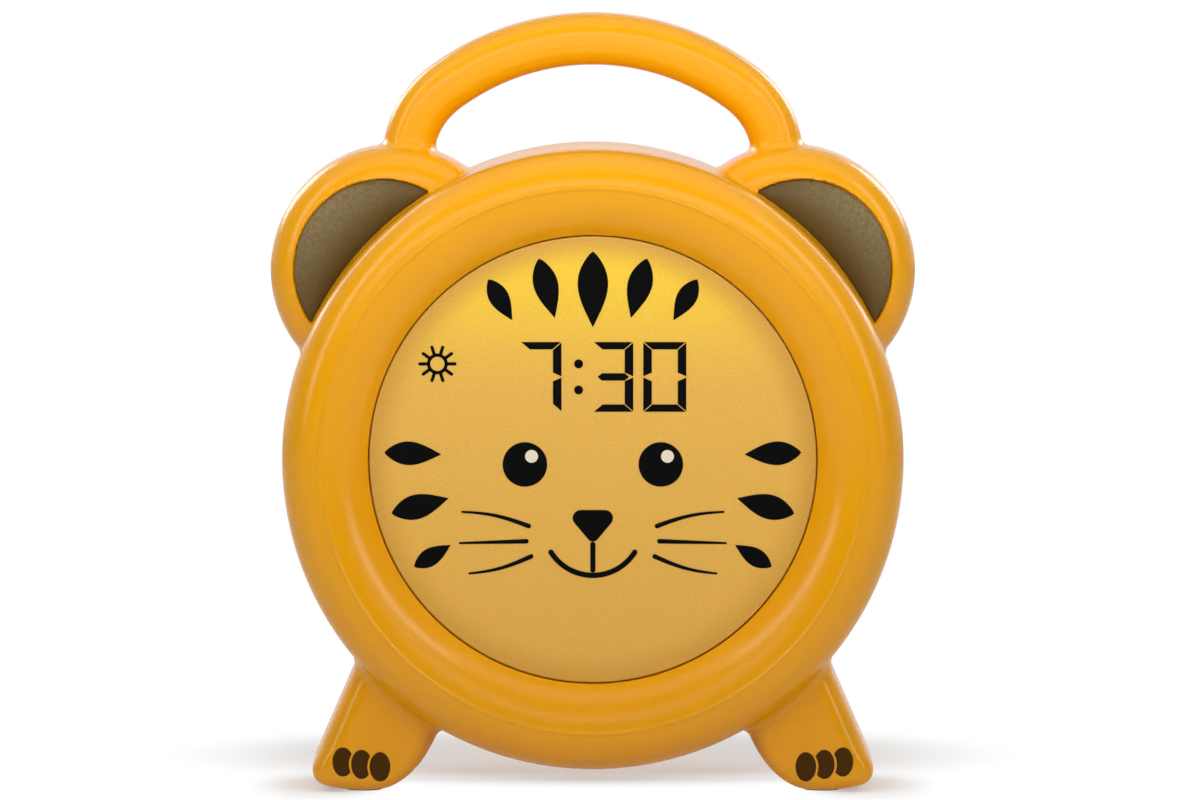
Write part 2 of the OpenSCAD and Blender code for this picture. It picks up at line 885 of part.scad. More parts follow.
// Flat ribbon from the display's lower edge back to the main board
module lcd_ribbon() {
  y0 = lcd_y - lcd_h/2;
  y1 = ribbon_slot_y;
  z0 = lcd_back_z + ribbon_t;
  color("#b5651d") upright() translate([lcd_x - ribbon_w/2, 0, 0])
    rotate([90, 0, 90]) linear_extrude(ribbon_w) {
      translate([y1 - ribbon_t/2, z0]) square([y0 - y1 + ribbon_t/2, ribbon_t]);
      translate([y1 - ribbon_t/2, board_z]) square([ribbon_t, z0 - board_z + ribbon_t]);
    }
}

module leds() {
  color("#fff2c8") upright() for (k = [0:led_count - 1])
    rotate([0, 0, k*360/led_count]) translate([led_ring_r, 0, board_z])
      rotate_extrude() intersection() {
        union() {
          square([led_flange_r, 1]);
          square([led_r, led_h - led_r]);
          translate([0, led_h - led_r]) circle(led_r);
        }
        square([led_flange_r, led_h]);
      }
}

module main_pcb() {
  color("#1f6b3a") upright() difference() {
    disc(board_r, board_back_z, board_z);
    for (a = tray_posts) rotate([0, 0, a]) translate([board_screw_r, 0, 0])
      disc(small_clear_r, board_back_z - over, board_z + over);
  }
}

// Box or can of a size, standing at a place on the back of the main board
module board_part(at, size) {
  translate(at) between(board_back_z - size.z, board_back_z)
    square([size.x, size.y], center=true);
}

module board_can(at, r, h) {
  translate(at) disc(r, board_back_z - h, board_back_z);
}

// Chips, capacitors and cable headers
module pcb_components() {
  color("#222222") upright() {
    board_part(chip_at, chip);
    board_part(driver_at, driver);
    board_can(capacitor_at, capacitor_r, capacitor_h);
    board_can(small_can_at, small_can_r, small_can_h);
    board_part(power_header_at, power_header);
    board_part([-side_x, ribbon_header_y], ribbon_header);
    board_part(speaker_header_at, speaker_header);
  }
}

module pcb_screws() {
  color("silver") upright() for (a = tray_posts)
    rotate([0, 0, a]) translate([board_screw_r, 0, 0]) {
      disc(small_screw_r, board_back_z, board_back_z + board_screw_l);
      disc(small_head_r, board_back_z - small_head_h, board_back_z);
    }
}

// ------------------------------------------------------------ rear board

module rear_board_shape() {
  difference() {
    intersection() {
      circle(rear_board_out);
      rotate(90) union() {
        translate([0, -body_r]) square([body_r, 2*body_r]);
        rotate(rear_board_from) translate([0, -body_r]) square(body_r);
        rotate(-rear_board_from) square(body_r);
      }
    }
    circle(rear_board_in);
  }
}

module rear_pcb() {
  color("#1f6b3a") upright() difference() {
    between(rear_board_z, rear_board_z + board_t) rear_board_shape();
    for (p = rear_posts) rotate([0, 0, p[1]]) translate([p[0], 0, 0])
      disc(small_clear_r, rear_board_z - over, 0);
  }
}

module rear_pcb_screws() {
  top = rear_board_z + board_t;
  color("silver") upright() for (p = rear_posts)
    rotate([0, 0, p[1]]) translate([p[0], 0, 0]) {
      disc(small_screw_r, top - small_screw_l, top);
      disc(small_head_r, top, top + small_head_h);
    }
}

module at_key(i) {
  rotate([0, 0, key_angles[i] - 90]) translate([0, key_arc_r, 0]) children();
}

module key_switches() {
  color("#30302e") upright() for (i = [0:4]) at_key(i) difference() {
    between(switch_top_z, rear_board_z) square([switch_w, switch_w], center=true);
    disc(plunger_hole_r, switch_top_z - over, switch_bore_z);
  }
}

module slide_switch() {
  color("#c9c9c4") upright() translate([-side_x, -side_y, 0]) difference() {
    between(slide_top_z, rear_board_z)
      square([slide_body_w, slide_body_l], center=true);
    between(slide_top_z - over, slide_top_z + lever_slot_depth)
      square([knob_lever + 0.4, knob_lever + switch_travel + 0.4], center=true);
  }
}

module usb_socket() {
  color("silver") upright() translate([side_x, -side_y, 0]) {
    difference() {
      between(usb_mouth_z, rear_board_z) rounded(usb_w, usb_h, usb_round);
      between(usb_mouth_z - over, rear_board_z - 1)
        rounded(usb_w - 2*usb_skin, usb_h - 2*usb_skin, usb_round - usb_skin);
    }
    between(usb_mouth_z + 0.6, rear_board_z - 0.5) square([6.7, 0.7], center=true);
  }
}

// Flat cable between the two boards, folded once
module board_ribbon() {
  z0 = rear_board_z + board_t;
  z1 = board_back_z - ribbon_header.z;
  mid = (z0 + z1)/2;
  t = cable_t;
  color("#d8d8d4") upright()
    translate([-side_x, ribbon_header_y - cable_w/2, 0]) rotate([90, 0, 180])
    translate([0, 0, -cable_w]) linear_extrude(cable_w) {
      translate([-t/2, z0]) square([t, mid - z0]);
      translate([-t/2, mid - t/2]) square([cable_fold + t, t]);
      translate([cable_fold - t/2, mid - t/2]) square([t, z1 - mid + t/2]);
    }
}

// --------------------------------------------------------------- speaker

module speaker_frame() {
  basket_r = magnet_r + 2;
  basket_t = 0.8;
  color("#3a3a3c") upright() translate([0, speaker_y, 0]) rotate_extrude() {
    polygon([
      [speaker_r - 2.6, gasket_z], [speaker_r - 0.1, gasket_z],
      [speaker_r - 0.1, gasket_z + speaker_flange_t],
      [speaker_r - 1.1, gasket_z + speaker_flange_t],
      [basket_r, speaker_back_z - magnet_h], [magnet_r, speaker_back_z - magnet_h],
      [magnet_r, speaker_back_z], [0, speaker_back_z],
      [0, speaker_back_z - magnet_h - basket_t],
      [basket_r - 1, speaker_back_z - magnet_h - basket_t],
      [speaker_r - 2.6, gasket_z + speaker_flange_t]
    ]);
  }
}

module speaker_cone() {
  z = gasket_z - 0.4;
  rim = speaker_r - 2.7;
  dust = 3.4;
  depth = 2.2;
  color("#1b1b1d") upright() translate([0, speaker_y, 0]) rotate_extrude()
    polygon([
      [rim, z], [rim, z + cone_t], [dust, z + depth], [0, z + depth - 0.9],
      [0, z + depth - 0.9 - cone_t], [dust, z + depth - cone_t]
    ]);
}

module speaker_gasket() {
  color("#505050") upright() translate([0, speaker_y, 0]) difference() {
    disc(speaker_r - 0.1, inner_back_z, gasket_z);
    disc(speaker_r - 2.6, inner_back_z - over, gasket_z + over);
  }
}

// ------------------------------------------------------- keys and switch

// Moulded key: rounded cap, flange behind the wall and stem
module key(i) {
  cap_z = back_z - key_proud;
  color("#f4ead2") upright() at_key(i) rotate_extrude() {
    translate([0, cap_z]) square([key_r - key_edge, 1]);
    translate([0, cap_z + key_edge])
      square([key_r, key_flange_z - cap_z - key_edge]);
    translate([key_r - key_edge, cap_z + key_edge]) intersection() {
      circle(key_edge);
      translate([-1, -1]) square([2, 1.5]);
    }
    translate([0, key_flange_z]) square([key_flange_r, key_flange_t]);
    translate([0, key_flange_z]) square([key_stem_r, plunger_top_z - key_flange_z]);
  }
}

module key_plunger(i) {
  color("#e8e8e4") upright() at_key(i) disc(plunger_r, plunger_top_z, plunger_end_z);
}

module alarm_switch() {
  rest_y = -side_y - switch_travel/2;
  color("#f4ead2") upright() translate([-side_x, rest_y, 0]) {
    between(back_z - knob_proud, knob_plate_z) difference() {
      rounded(knob_w, knob_l, 0.7);
      square([knob_w + 1, 0.5], center=true);
    }
    between(back_z - knob_proud + 0.5, knob_plate_z) rounded(knob_w, knob_l, 0.7);
    between(knob_plate_z, knob_plate_z + knob_plate_t)
      square([knob_slot_w + 2, knob_l + 2*switch_travel], center=true);
    between(knob_plate_z, slide_top_z + lever_slot_depth - 0.4)
      square([knob_lever, knob_lever], center=true);
  }
}

// -------------------------------------------------------------- batteries

module battery_door() {
  color("orange") upright() difference() {
    translate([0, -door_y, 0]) between(back_z, door_in_z)
      rounded(door_w, door_h, door_round);
    translate([0, door_screw_y, 0]) {
      disc(clear_r - 0.2, back_z - over, door_in_z + over);
      disc(door_head_r + 0.2, back_z - over, back_z + door_head_h);
    }
    for (k = [-1:1]) translate([0, grip_y + grip_pitch*k, 0])
      between(back_z - over, back_z + grip_depth) rounded(grip_w, grip_h, grip_h/2 - 0.05);
  }
}

module battery_door_screw() {
  color("silver") upright() translate([0, door_screw_y, 0]) {
    disc(screw_r, back_z + door_head_h, door_in_z + door_screw_l - 1);
    difference() {
      disc(door_head_r, back_z + 0.1, back_z + door_head_h);
      between(back_z, back_z + 0.6) {
        square([3, 0.6], center=true);
        square([0.6, 3], center=true);
      }
    }
  }
}

function cell_y(i) = -box_y + (i - (cell_count - 1)/2)*(cell_d + cell_gap);
// Every other cell lies the other way round
function cell_side(i) = i % 2 == 0 ? 0 : 1;

module at_cell(i) {
  translate([0, cell_y(i), cell_z]) mirror([cell_side(i), 0, 0]) children();
}

module battery_cells() {
  nub_r = 1.9;
  nub_l = 0.8;
  color("#3c5a78") upright() for (i = [0:cell_count - 1]) at_cell(i)
    translate([cell_l/2 - nub_l, 0, 0]) rotate([0, 90, 0]) rotate_extrude() {
      translate([0, -cell_l + nub_l]) square([cell_d/2, cell_l - nub_l]);
      square([nub_r, nub_l]);
    }
}

// Flat plates: the plus end touches its plate's raised dimple
module battery_contacts() {
  dimple = contact_room - contact_t;
  color("silver") upright() for (i = [0:cell_count - 1]) at_cell(i) {
    for (side = [-1, 1]) translate([side*(box_w/2 - contact_t/2), 0, 0])
      cube([contact_t, contact_w, contact_w], center=true);
    translate([cell_l/2, 0, 0]) rotate([0, 90, 0]) cylinder(h=dimple, r=1.6);
  }
}

// Conical spring swept round its own axis
module coil(r0, r1, length, turns, wire) {
  sides = 6;
  steps = 12;
  rings = turns*steps;
  pts = [for (k = [0:rings], s = [0:sides - 1])
    let (f = k/rings, a = k*360/steps, b = s*360/sides,
         r = r0 + (r1 - r0)*f + wire/2*cos(b))
    [wire/2 + (length - wire)*f + wire/2*sin(b), r*cos(a), r*sin(a)]];
  side_faces = [for (k = [0:rings - 1], s = [0:sides - 1])
    let (n = (s + 1) % sides)
    [k*sides + s, k*sides + n, (k + 1)*sides + n, (k + 1)*sides + s]];
  first = [for (s = [sides - 1:-1:0]) s];
  last = [for (s = [0:sides - 1]) rings*sides + s];
  polyhedron(points=pts, faces=concat(side_faces, [first, last]));
}

module battery_springs() {
  length = contact_room - contact_t - 0.1;
  color("silver") upright() for (i = [0:cell_count - 1]) at_cell(i)
    translate([-box_w/2 + contact_t + 0.05, 0, 0])
      coil(spring_r0, spring_r1, length, spring_turns, spring_wire);
}

module housing_screws() {
  color("silver") upright() at_housing_screws() {
    disc(screw_r, well_z, well_z + screw_l);
    difference() {
      disc(screw_head_r, well_z - screw_head_h, well_z);
      between(well_z - screw_head_h - over, well_z - screw_head_h + 0.9) {
        square([3.4, 0.7], center=true);
        square([0.7, 3.4], center=true);
      }
    }
  }
}

front_housing();
rear_housing();
bezel_ring();
window_lens();
ear_inlay(1);  // ear_inlay_left
ear_inlay(0);  // ear_inlay_right
toe_inlays(1);  // toe_inlays_left
toe_inlays(0);  // toe_inlays_right
foot_pad(1);  // foot_pad_left
foot_pad(0);  // foot_pad_right
light_tray();
diffuser();
lcd_panel();
lcd_frame();
lcd_ribbon();
leds();
main_pcb();
pcb_components();
pcb_screws();
rear_pcb();
rear_pcb_screws();
key_switches();
slide_switch();
usb_socket();
board_ribbon();
speaker_frame();
speaker_cone();
speaker_gasket();
key(0);  // light_button
key(1);  // volume_button
key(2);  // set_button
key(3);  // alarm_button
key(4);  // snooze_button
key_plunger(0);  // light_plunger
key_plunger(1);  // volume_plunger
key_plunger(2);  // set_plunger
key_plunger(3);  // alarm_plunger
key_plunger(4);  // snooze_plunger
alarm_switch();
battery_door();
battery_door_screw();
battery_cells();
battery_contacts();
battery_springs();
housing_screws();
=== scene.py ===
import json
import math

import bpy
import numpy as np
from mathutils import Matrix, Vector


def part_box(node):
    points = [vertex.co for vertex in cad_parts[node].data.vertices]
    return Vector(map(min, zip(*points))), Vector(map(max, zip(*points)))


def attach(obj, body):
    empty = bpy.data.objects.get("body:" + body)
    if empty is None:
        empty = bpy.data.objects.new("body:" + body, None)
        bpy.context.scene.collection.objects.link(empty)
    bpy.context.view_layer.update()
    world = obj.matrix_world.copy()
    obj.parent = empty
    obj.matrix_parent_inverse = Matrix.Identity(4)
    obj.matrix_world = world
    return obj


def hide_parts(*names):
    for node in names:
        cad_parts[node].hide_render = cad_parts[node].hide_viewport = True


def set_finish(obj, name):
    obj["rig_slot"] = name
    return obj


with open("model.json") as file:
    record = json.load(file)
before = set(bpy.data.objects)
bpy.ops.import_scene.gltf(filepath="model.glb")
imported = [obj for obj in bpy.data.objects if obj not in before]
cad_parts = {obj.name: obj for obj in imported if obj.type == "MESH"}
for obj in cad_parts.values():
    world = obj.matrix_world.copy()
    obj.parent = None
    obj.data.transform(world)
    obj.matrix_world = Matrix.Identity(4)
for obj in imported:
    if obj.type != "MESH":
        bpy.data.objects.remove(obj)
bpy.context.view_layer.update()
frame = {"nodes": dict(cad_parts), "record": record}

# Pieces are shaped in front elevation, in millimetres: X to the right, Y up from
# the middle of the face, Z towards the viewer from the parting line. place()
# takes them to the frame, in metres.
MM = 0.001
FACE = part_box("window_lens")
FACE_H = (FACE[0].z + FACE[1].z)/2/MM
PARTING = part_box("front_housing")[1].y/MM

# Round body, from the parting line of the shells. MOUTH is the radius and the depth
# of the step at the pocket's edge that takes the bezel's beaded rim.
BODY_R = 65.4
FRONT = 28.87
BACK = -29.0
WALL = 2.2
RING_ROUND = 8.0
RING_LIP = 0.3
BACK_ROUND = 10.0
EDGE = 0.35
POCKET_R = 56.0
MOUTH = (57.3, 27.0)
SEAT = 18.0
FLANGE_BACK = 15.8
APERTURE_R = 46.5
PARTING_GAP = 0.02
OPENING_EDGE = 0.3

# Ears and their inlays
EAR = (42.0, 39.3)
EAR_R = 26.1
EAR_HALF = 14.0
EAR_ROUND = 7.0
INLAY = (44.1, 39.6)
INLAY_R = 19.1
INLAY_SIDE_R = 65.7
INLAY_FLOOR = 12.6

# Handle: a three-centred arch
SHOULDER = (20.25, 62.4)
SHOULDER_R = 18.85
CROWN_Y = 35.4
CROWN_R = 52.6
BAR_HALF = 5.45
BAR_DEPTH = 8.0
BAR_ROUND = 4.6
BAR_ROOT = 54.4

# Legs
LEG = (44.9, -58.6)
LEG_TILT = math.radians(23.5)
LEG_HALF = 10.6
LEG_INSIDE = (32.2, -56.4)
LEG_INSIDE_TILT = math.radians(16.5)
LEG_DEPTH = 20.0
LEG_ROUND = 4.6
SOLE_EDGE = 2.0
LEG_TOP = 19.0
SOLE = -70.1
SOLE_X = 48.4
SOLE_R = 34.0
PAW_OUTER_R = 4.0
PAW_INNER_R = 8.5

# Recess for the rubber pad under each foot
FOOT_HALF = (3.8, 14.1)
FOOT_ROUND = 3.7
FOOT_DEPTH = 0.9
FOOT_EDGE = 0.2

# Fillets in the corners of the moulding
EAR_FILLET = 1.1
HANDLE_FILLET = 1.8
LEG_FILLET = 2.4

# Toes
TOE = (44.9, -65.0)
TOE_PITCH = 3.9
TOE_DROP = 0.5
TOE_HALF = (2.25, 3.15)
TOE_GAP = 0.35
TOE_FACE = 20.12
TOE_SUNK = 0.4
TOE_CROWN = 0.3
TOE_EDGE = 0.3
TOE_REACH = 6
HIDDEN_TOE = 0.45

# Bezel and window
BEZEL_R = 55.96
BEZEL_RIM = (57.25, 27.1)
BEZEL_OUT = (56.75, 28.6)
BEZEL_IN = (47.3, 22.2)
BEZEL_BULGE = 1.1
BEAD_WIDTH = 1.3
BEAD_RISE = 0.265
BEAD_FOOT = 28.85
BEAD_LAP = 0.04
LIP_IN_R = 0.5
LIP_Z = 19.7
SEAT_R = 50.1
FLANGE_R = 50.0
FLANGE_TOP = 19.6
LENS_R = 47.05
LENS_FACE = 21.6
LENS_EASE = 0.25
INK = 0.05
PRINT_FACE = LENS_FACE + INK
GLINT_FACE = PRINT_FACE + 0.03

# Ear pads
PAD_MIDDLE = (53.2, 47.8)
PAD_GAP = 0.12
PAD_BACK = INLAY_FLOOR + 0.05
PAD_EDGE = 13.1
PAD_TOP = 15.2
PAD_SPREAD = 3.7
PAD_ROUND = 0.45
PAD_REACH = 40

# Print: fur marks as (angle, length, width), eyes, nose, mouth and whiskers
FUR_END = 43.9
FOREHEAD = [(60, 10, 4.2), (75, 13, 5.2), (90, 16, 6.4), (105, 13, 5.2), (120, 10, 4.2)]
CHEEKS = [(2, 12, 5), (-15, 12.5, 5.2), (-31, 9, 3.8)]
EYE = (14.3, -1.0)
EYE_R = 4.7
GLINT = (1.4, 1.7)
GLINT_R = 1.35
NOSE_Y = -10.6
NOSE = (6.2, 7.4)
SMILE_Y = -14.0
SMILE_R = 10.4
SMILE_WIDTH = 1.15
LIP_WIDTH = 1.1
WHISKER_WIDTH = 1.0
WHISKER_TAPER = 0.45
WHISKER_BOW = 0.7
WHISKERS = [
    ((13.5, -14.0), (27.5, -11.0)),
    ((14.0, -17.2), (28.0, -17.6)),
    ((13.0, -20.4), (26.0, -24.0)),
]

# Display signs
DIGIT_TOP = 24.8
DIGIT_LOW = 10.1
BAR_H = 1.55
BAR_V = 1.8
BAR_GAP = 0.13
COLON_X = -3.0
COLON_Y = (20.2, 14.7)
COLON_R = 0.95
SUN = np.array([-32.7, 20.2])
SUN_R = 1.85
SUN_LINE = 0.7
SUN_RAY = (2.05, 3.7)
SUN_RAYS = 10

# Colours
ORANGE_LIGHT = "#F1A800"
ORANGE_DARK = "#EEA200"
# Window: painted glow of its lamps, yellow towards the top
AMBER_PAINTED_GLOW = "#F4CB34"
AMBER_MID = "#E6B44C"
AMBER_LOW = "#E8B450"
# Window: painted shade round its rim
AMBER_RIM_PAINTED_SHADE = "#D8A542"
# Ear pads: painted shade towards the body, then the grain's two tones
PAD_PAINTED_SHADE = "#5C4A26"
PAD_DARK = "#7A6844"
PAD_LIGHT = "#A28F62"
TOE_LIGHT = "#4E3204"
TOE_DARK = "#432A02"
FLOOR_WHITE = "#F4F4F4"

# Camera and light
CAMERA_FAR = 2.5
CAMERA_RISE = math.radians(3.5)
VIEW_WIDTH = 0.25224
FILM_WIDTH = 36
AIM = (0.0015, (PARTING - 23.5)*MM, 0.0833)
MIDDLE = (0, 0, 0.08)
WORLD_LIGHT = 0.04
FLOOR_MIRRORED = 0.3

# Floor's shade, in metres: its middle behind the clock and beside each foot, how the
# distance is scaled across and along, where it starts and ends, and its least white
SHADE_BEHIND = 0.07
SHADE_SCALE = (0.85, 1, 1)
SHADE_FADE = (0.04, 0.082, 0.15)
FOOT_SHADE = 0.058
FOOT_SHADE_SCALE = (1.3, 0.5, 1)
FOOT_SHADE_FADE = (0.004, 0.022, 0.3)

# Softboxes: place, what they face, size, power and whether they are mirrored
LAMPS = {
    "left_box": ((-0.72, -0.5, 0.5), MIDDLE, (0.16, 0.75), 1.45, True),
    "right_box": ((0.72, -0.5, 0.5), MIDDLE, (0.16, 0.75), 1.45, True),
    "top_box": ((0, -0.08, 0.36), (0, -0.03, 0.14), (0.5, 0.2), 0.25, True),
    "front_fill": ((0, -0.26, 0.2), (0, -0.03, 0.3), (0.4, 0.08), 0.84, False),
    "back_left_box": ((-0.55, 0.6, 0.5), MIDDLE, (0.4, 0.4), 2.8, True),
    "back_right_box": ((0.55, 0.6, 0.5), MIDDLE, (0.4, 0.4), 2.8, True),
}

# Shells' mesh: the grid it is found on, in millimetres, and the share of faces kept
# where nothing but the inside shows
GRID = 0.6
INNER_SHARE = 0.12

MADE = []


def place(points):
    """Points of the elevation, in millimetres, in the frame, in metres."""
    p = np.asarray(points, float)
    return np.stack([p[:, 0], PARTING - p[:, 2], p[:, 1] + FACE_H], 1)*MM


# ------------------------------------------------------------------ solids
# A solid is a field: its value is the distance from the skin, below zero inside.

def fillet(a, b, r):
    """Two solids in one, with a fillet of radius r in the corner between them."""
    corner = np.hypot(np.maximum(r - a, 0), np.maximum(r - b, 0))
    return np.maximum(r, np.minimum(a, b)) - corner


def common(a, b, r=EDGE):
    """What two solids share, with its new edges rounded to radius r."""
    edge = np.hypot(np.maximum(r + a, 0), np.maximum(r + b, 0))
    return np.minimum(-r, np.maximum(a, b)) + edge


def cut(a, b, r=EDGE):
    """A solid less another, with the new edges rounded to radius r."""
    return common(a, -b, r)


def between(z, low, high):
    return np.abs(z - (low + high)/2) - (high - low)/2


def circle(x, y, at, r):
    return np.hypot(x - at[0], y - at[1]) - r


def box_outline(x, y, at, half, r):
    qx = np.abs(x - at[0]) - half[0] + r
    qy = np.abs(y - at[1]) - half[1] + r
    return np.minimum(np.maximum(qx, qy), 0) + np.hypot(np.maximum(qx, 0), np.maximum(qy, 0)) - r


def round_body(x, y, z):
    side = np.hypot(x, y) - BODY_R
    return np.maximum(common(side, z - FRONT, RING_ROUND), common(side, BACK - z, BACK_ROUND))


def ears(x, y, z):
    return common(circle(np.abs(x), y, EAR, EAR_R), np.abs(z) - EAR_HALF, EAR_ROUND)


def handle(x, y, z):
    """Bar along the arch, straight below its springing."""
    s = np.abs(x)
    crown = np.abs(np.hypot(s, y - CROWN_Y) - CROWN_R)
    shoulder = np.abs(np.hypot(s - SHOULDER[0], y - SHOULDER[1]) - SHOULDER_R)
    straight = np.abs(s - SHOULDER[0] - SHOULDER_R)
    on_crown = (y - CROWN_Y)*SHOULDER[0] > s*(SHOULDER[1] - CROWN_Y)
    line = np.where(y < SHOULDER[1], straight, np.where(on_crown, crown, shoulder))
    bar = common(line - BAR_HALF, np.abs(z) - BAR_DEPTH, BAR_ROUND)
    return np.maximum(bar, BAR_ROOT - y)


def leg_outline(s, y):
    """Leg and paw in elevation: straight sides, a gently curved sole."""
    out = (s - LEG[0])*math.cos(LEG_TILT) + (y - LEG[1])*math.sin(LEG_TILT)
    up = (y - LEG[1])*math.cos(LEG_TILT) - (s - LEG[0])*math.sin(LEG_TILT)
    sole = np.hypot(s - SOLE_X, y - SOLE - SOLE_R) - SOLE_R
    sole = np.where(y > SOLE + SOLE_R/2, -SOLE_R/2, sole)
    inside = (LEG_INSIDE[0] - s)*math.cos(LEG_INSIDE_TILT)
    inside = inside - (y - LEG_INSIDE[1])*math.sin(LEG_INSIDE_TILT)
    paw = common(common(sole, out - LEG_HALF, PAW_OUTER_R), inside, PAW_INNER_R)
    return np.maximum(paw, up - LEG_TOP)


def legs(x, y, z):
    edge = np.interp(y, [SOLE, SOLE + 9], [SOLE_EDGE, LEG_ROUND])
    return common(leg_outline(np.abs(x), y), np.abs(z) - LEG_DEPTH, edge)


def whole_body(x, y, z):
    body = fillet(round_body(x, y, z), ears(x, y, z), EAR_FILLET)
    body = fillet(body, handle(x, y, z), HANDLE_FILLET)
    return fillet(body, legs(x, y, z), LEG_FILLET)


def hollow(x, y, z):
    """Room inside the shells: it stops behind the window's seat and the ears' inlays."""
    room = whole_body(x, y, z) + WALL
    seat = np.maximum(np.hypot(x, y) - POCKET_R - WALL, FLANGE_BACK - z)
    pocket = np.maximum(inlay_outline(x, y) - WALL, INLAY_FLOOR - WALL - z)
    return np.maximum(np.maximum(room, -seat), -pocket)


def inlay_outline(x, y):
    """Ear's inlay: a circle cut off by the round body."""
    return np.maximum(circle(np.abs(x), y, INLAY, INLAY_R), INLAY_SIDE_R - np.hypot(x, y))


def toe_oval(s, y, i, grow):
    x = s - TOE[0] - i*TOE_PITCH
    y = y - TOE[1] - i*TOE_DROP
    half = (TOE_HALF[0] + grow, TOE_HALF[1] + grow)
    return (np.hypot(x/half[0], y/half[1]) - 1)*half[0]


def toe_outline(x, y, i, grow=0.0):
    """One toe, cut back from the toe in front of it."""
    s = np.abs(x)
    toe = toe_oval(s, y, i, grow)
    if i > 0:
        toe = np.maximum(toe, -toe_oval(s, y, i - 1, TOE_GAP - grow))
    return toe


def pad_recess(x, y, z):
    outline = box_outline(np.abs(x), z, (SOLE_X, 0), FOOT_HALF, FOOT_ROUND)
    return np.maximum(outline, y - SOLE - FOOT_DEPTH)


def front_half(x, y, z):
    r = np.hypot(x, y)
    shell = common(whole_body(x, y, z), PARTING_GAP - z)
    shell = np.maximum(shell, -hollow(x, y, z))
    mouth = np.maximum(r - MOUTH[0], MOUTH[1] - z)
    shell = cut(shell, np.minimum(np.maximum(r - POCKET_R, SEAT - z), mouth), RING_LIP)
    shell = np.maximum(shell, -np.maximum(r - APERTURE_R, -z))
    shell = cut(shell, np.maximum(inlay_outline(x, y), INLAY_FLOOR - z), OPENING_EDGE)
    return cut(shell, pad_recess(x, y, z), FOOT_EDGE)


# Back wall: keys, alarm switch, power inlet, speaker, screws and battery bay
INNER_BACK = BACK + WALL
KEY_ARC_R = 41.0
KEY_ANGLES = [48, 69, 90, 111, 132]
KEY_HOLE_R = 4.4
SIDE = (41.0, -8.0)
SWITCH_HALF = (2.5, 4.2)
SWITCH_ROUND = 0.8
INLET_HALF = (4.82, 1.98)
INLET_ROUND = 1.95
SPEAKER = (0.0, 14.0)
SOUND_R = 1.1
SOUND_PITCH = 4.2
SCREWS = [(52, 50), (44.5, -57)]
WELL_R = 3.1
WELL_FLOOR = -6.0
COLUMN_R = 4.6
SHANK_R = 1.6
DOOR = (0.0, -25.0)
DOOR_HALF = (28.2, 21.2)
DOOR_ROUND = 3.2
DOOR_IN = -27.2
DOOR_EDGE = 0.25
LEDGE = -25.6
LEDGE_ROUND = 5
LEDGE_IN = 7.2
BAY = (0.0, -26.0)
BAY_HALF = (24.85, 16.2)
BAY_FLOOR = -16.2
BAY_WALL = 1.5
DOOR_SCREW = (0.0, -7.0)
DOOR_BOSS = (3.1, -17.5)
DOOR_THREAD = (1.25, -20.2)


def through_back(outline, z):
    return np.maximum(outline, between(z, BACK - 2, INNER_BACK + 1))


def bay_walls(x, y, z):
    ledge = box_outline(x, y, DOOR, (DOOR_HALF[0] + WALL, DOOR_HALF[1] + WALL), LEDGE_ROUND)
    ledge = np.maximum(ledge, np.hypot(x, y) - BODY_R + LEDGE_IN)
    ledge = np.maximum(ledge, between(z, BACK + 1, LEDGE))
    box = box_outline(x, y, BAY, (BAY_HALF[0] + BAY_WALL, BAY_HALF[1] + BAY_WALL), 0.5)
    box = np.maximum(box, between(z, BACK + 1, BAY_FLOOR + BAY_WALL))
    boss = np.maximum(circle(x, y, DOOR_SCREW, DOOR_BOSS[0]), between(z, BACK + 1, DOOR_BOSS[1]))
    return np.minimum(np.minimum(ledge, box), boss)


def bay_room(x, y, z):
    door = np.maximum(box_outline(x, y, DOOR, DOOR_HALF, DOOR_ROUND), z - DOOR_IN)
    cells = np.maximum(box_outline(x, y, BAY, BAY_HALF, 0.3), z - BAY_FLOOR)
    screw = np.maximum(circle(x, y, DOOR_SCREW, DOOR_THREAD[0]), z - DOOR_THREAD[1])
    return np.minimum(np.minimum(door, cells), screw)


def sound_holes(x, y):
    holes = circle(x, y, SPEAKER, SOUND_R)
    for ring in (1, 2):
        for k in range(6*ring):
            a = math.radians(k*60/ring)
            out = ring*SOUND_PITCH
            at = (SPEAKER[0] + out*math.cos(a), SPEAKER[1] + out*math.sin(a))
            holes = np.minimum(holes, circle(x, y, at, SOUND_R))
    return holes


def rear_half(x, y, z):
    s = np.abs(x)
    shell = common(whole_body(x, y, z), z + PARTING_GAP)
    shell = np.maximum(shell, -hollow(x, y, z))
    columns = np.minimum(*[circle(s, y, at, COLUMN_R) for at in SCREWS])
    columns = np.maximum(np.maximum(columns, whole_body(x, y, z) + 1), z + PARTING_GAP)
    shell = np.minimum(shell, np.minimum(columns, bay_walls(x, y, z)))
    openings = sound_holes(x, y)
    for a in KEY_ANGLES:
        at = (KEY_ARC_R*math.cos(math.radians(a)), KEY_ARC_R*math.sin(math.radians(a)))
        openings = np.minimum(openings, circle(x, y, at, KEY_HOLE_R))
    switch = box_outline(x, y, (-SIDE[0], SIDE[1]), SWITCH_HALF, SWITCH_ROUND)
    inlet = box_outline(x, y, SIDE, INLET_HALF, INLET_ROUND)
    openings = np.minimum(openings, np.minimum(switch, inlet))
    shell = cut(shell, through_back(openings, z), OPENING_EDGE)
    wells = np.minimum(*[circle(s, y, at, WELL_R) for at in SCREWS])
    shell = cut(shell, np.maximum(wells, z - WELL_FLOOR), OPENING_EDGE)
    shanks = np.minimum(*[circle(s, y, at, SHANK_R) for at in SCREWS])
    shell = np.maximum(shell, -shanks)
    shell = cut(shell, bay_room(x, y, z), DOOR_EDGE)
    return cut(shell, pad_recess(x, y, z), FOOT_EDGE)


def outward(solid, p, reach=0.05):
    """Direction out of the skin at each point."""
    g = [solid(*(p + d[:, None])) - solid(*(p - d[:, None])) for d in reach*np.eye(3)]
    return np.stack(g)/(2*reach)


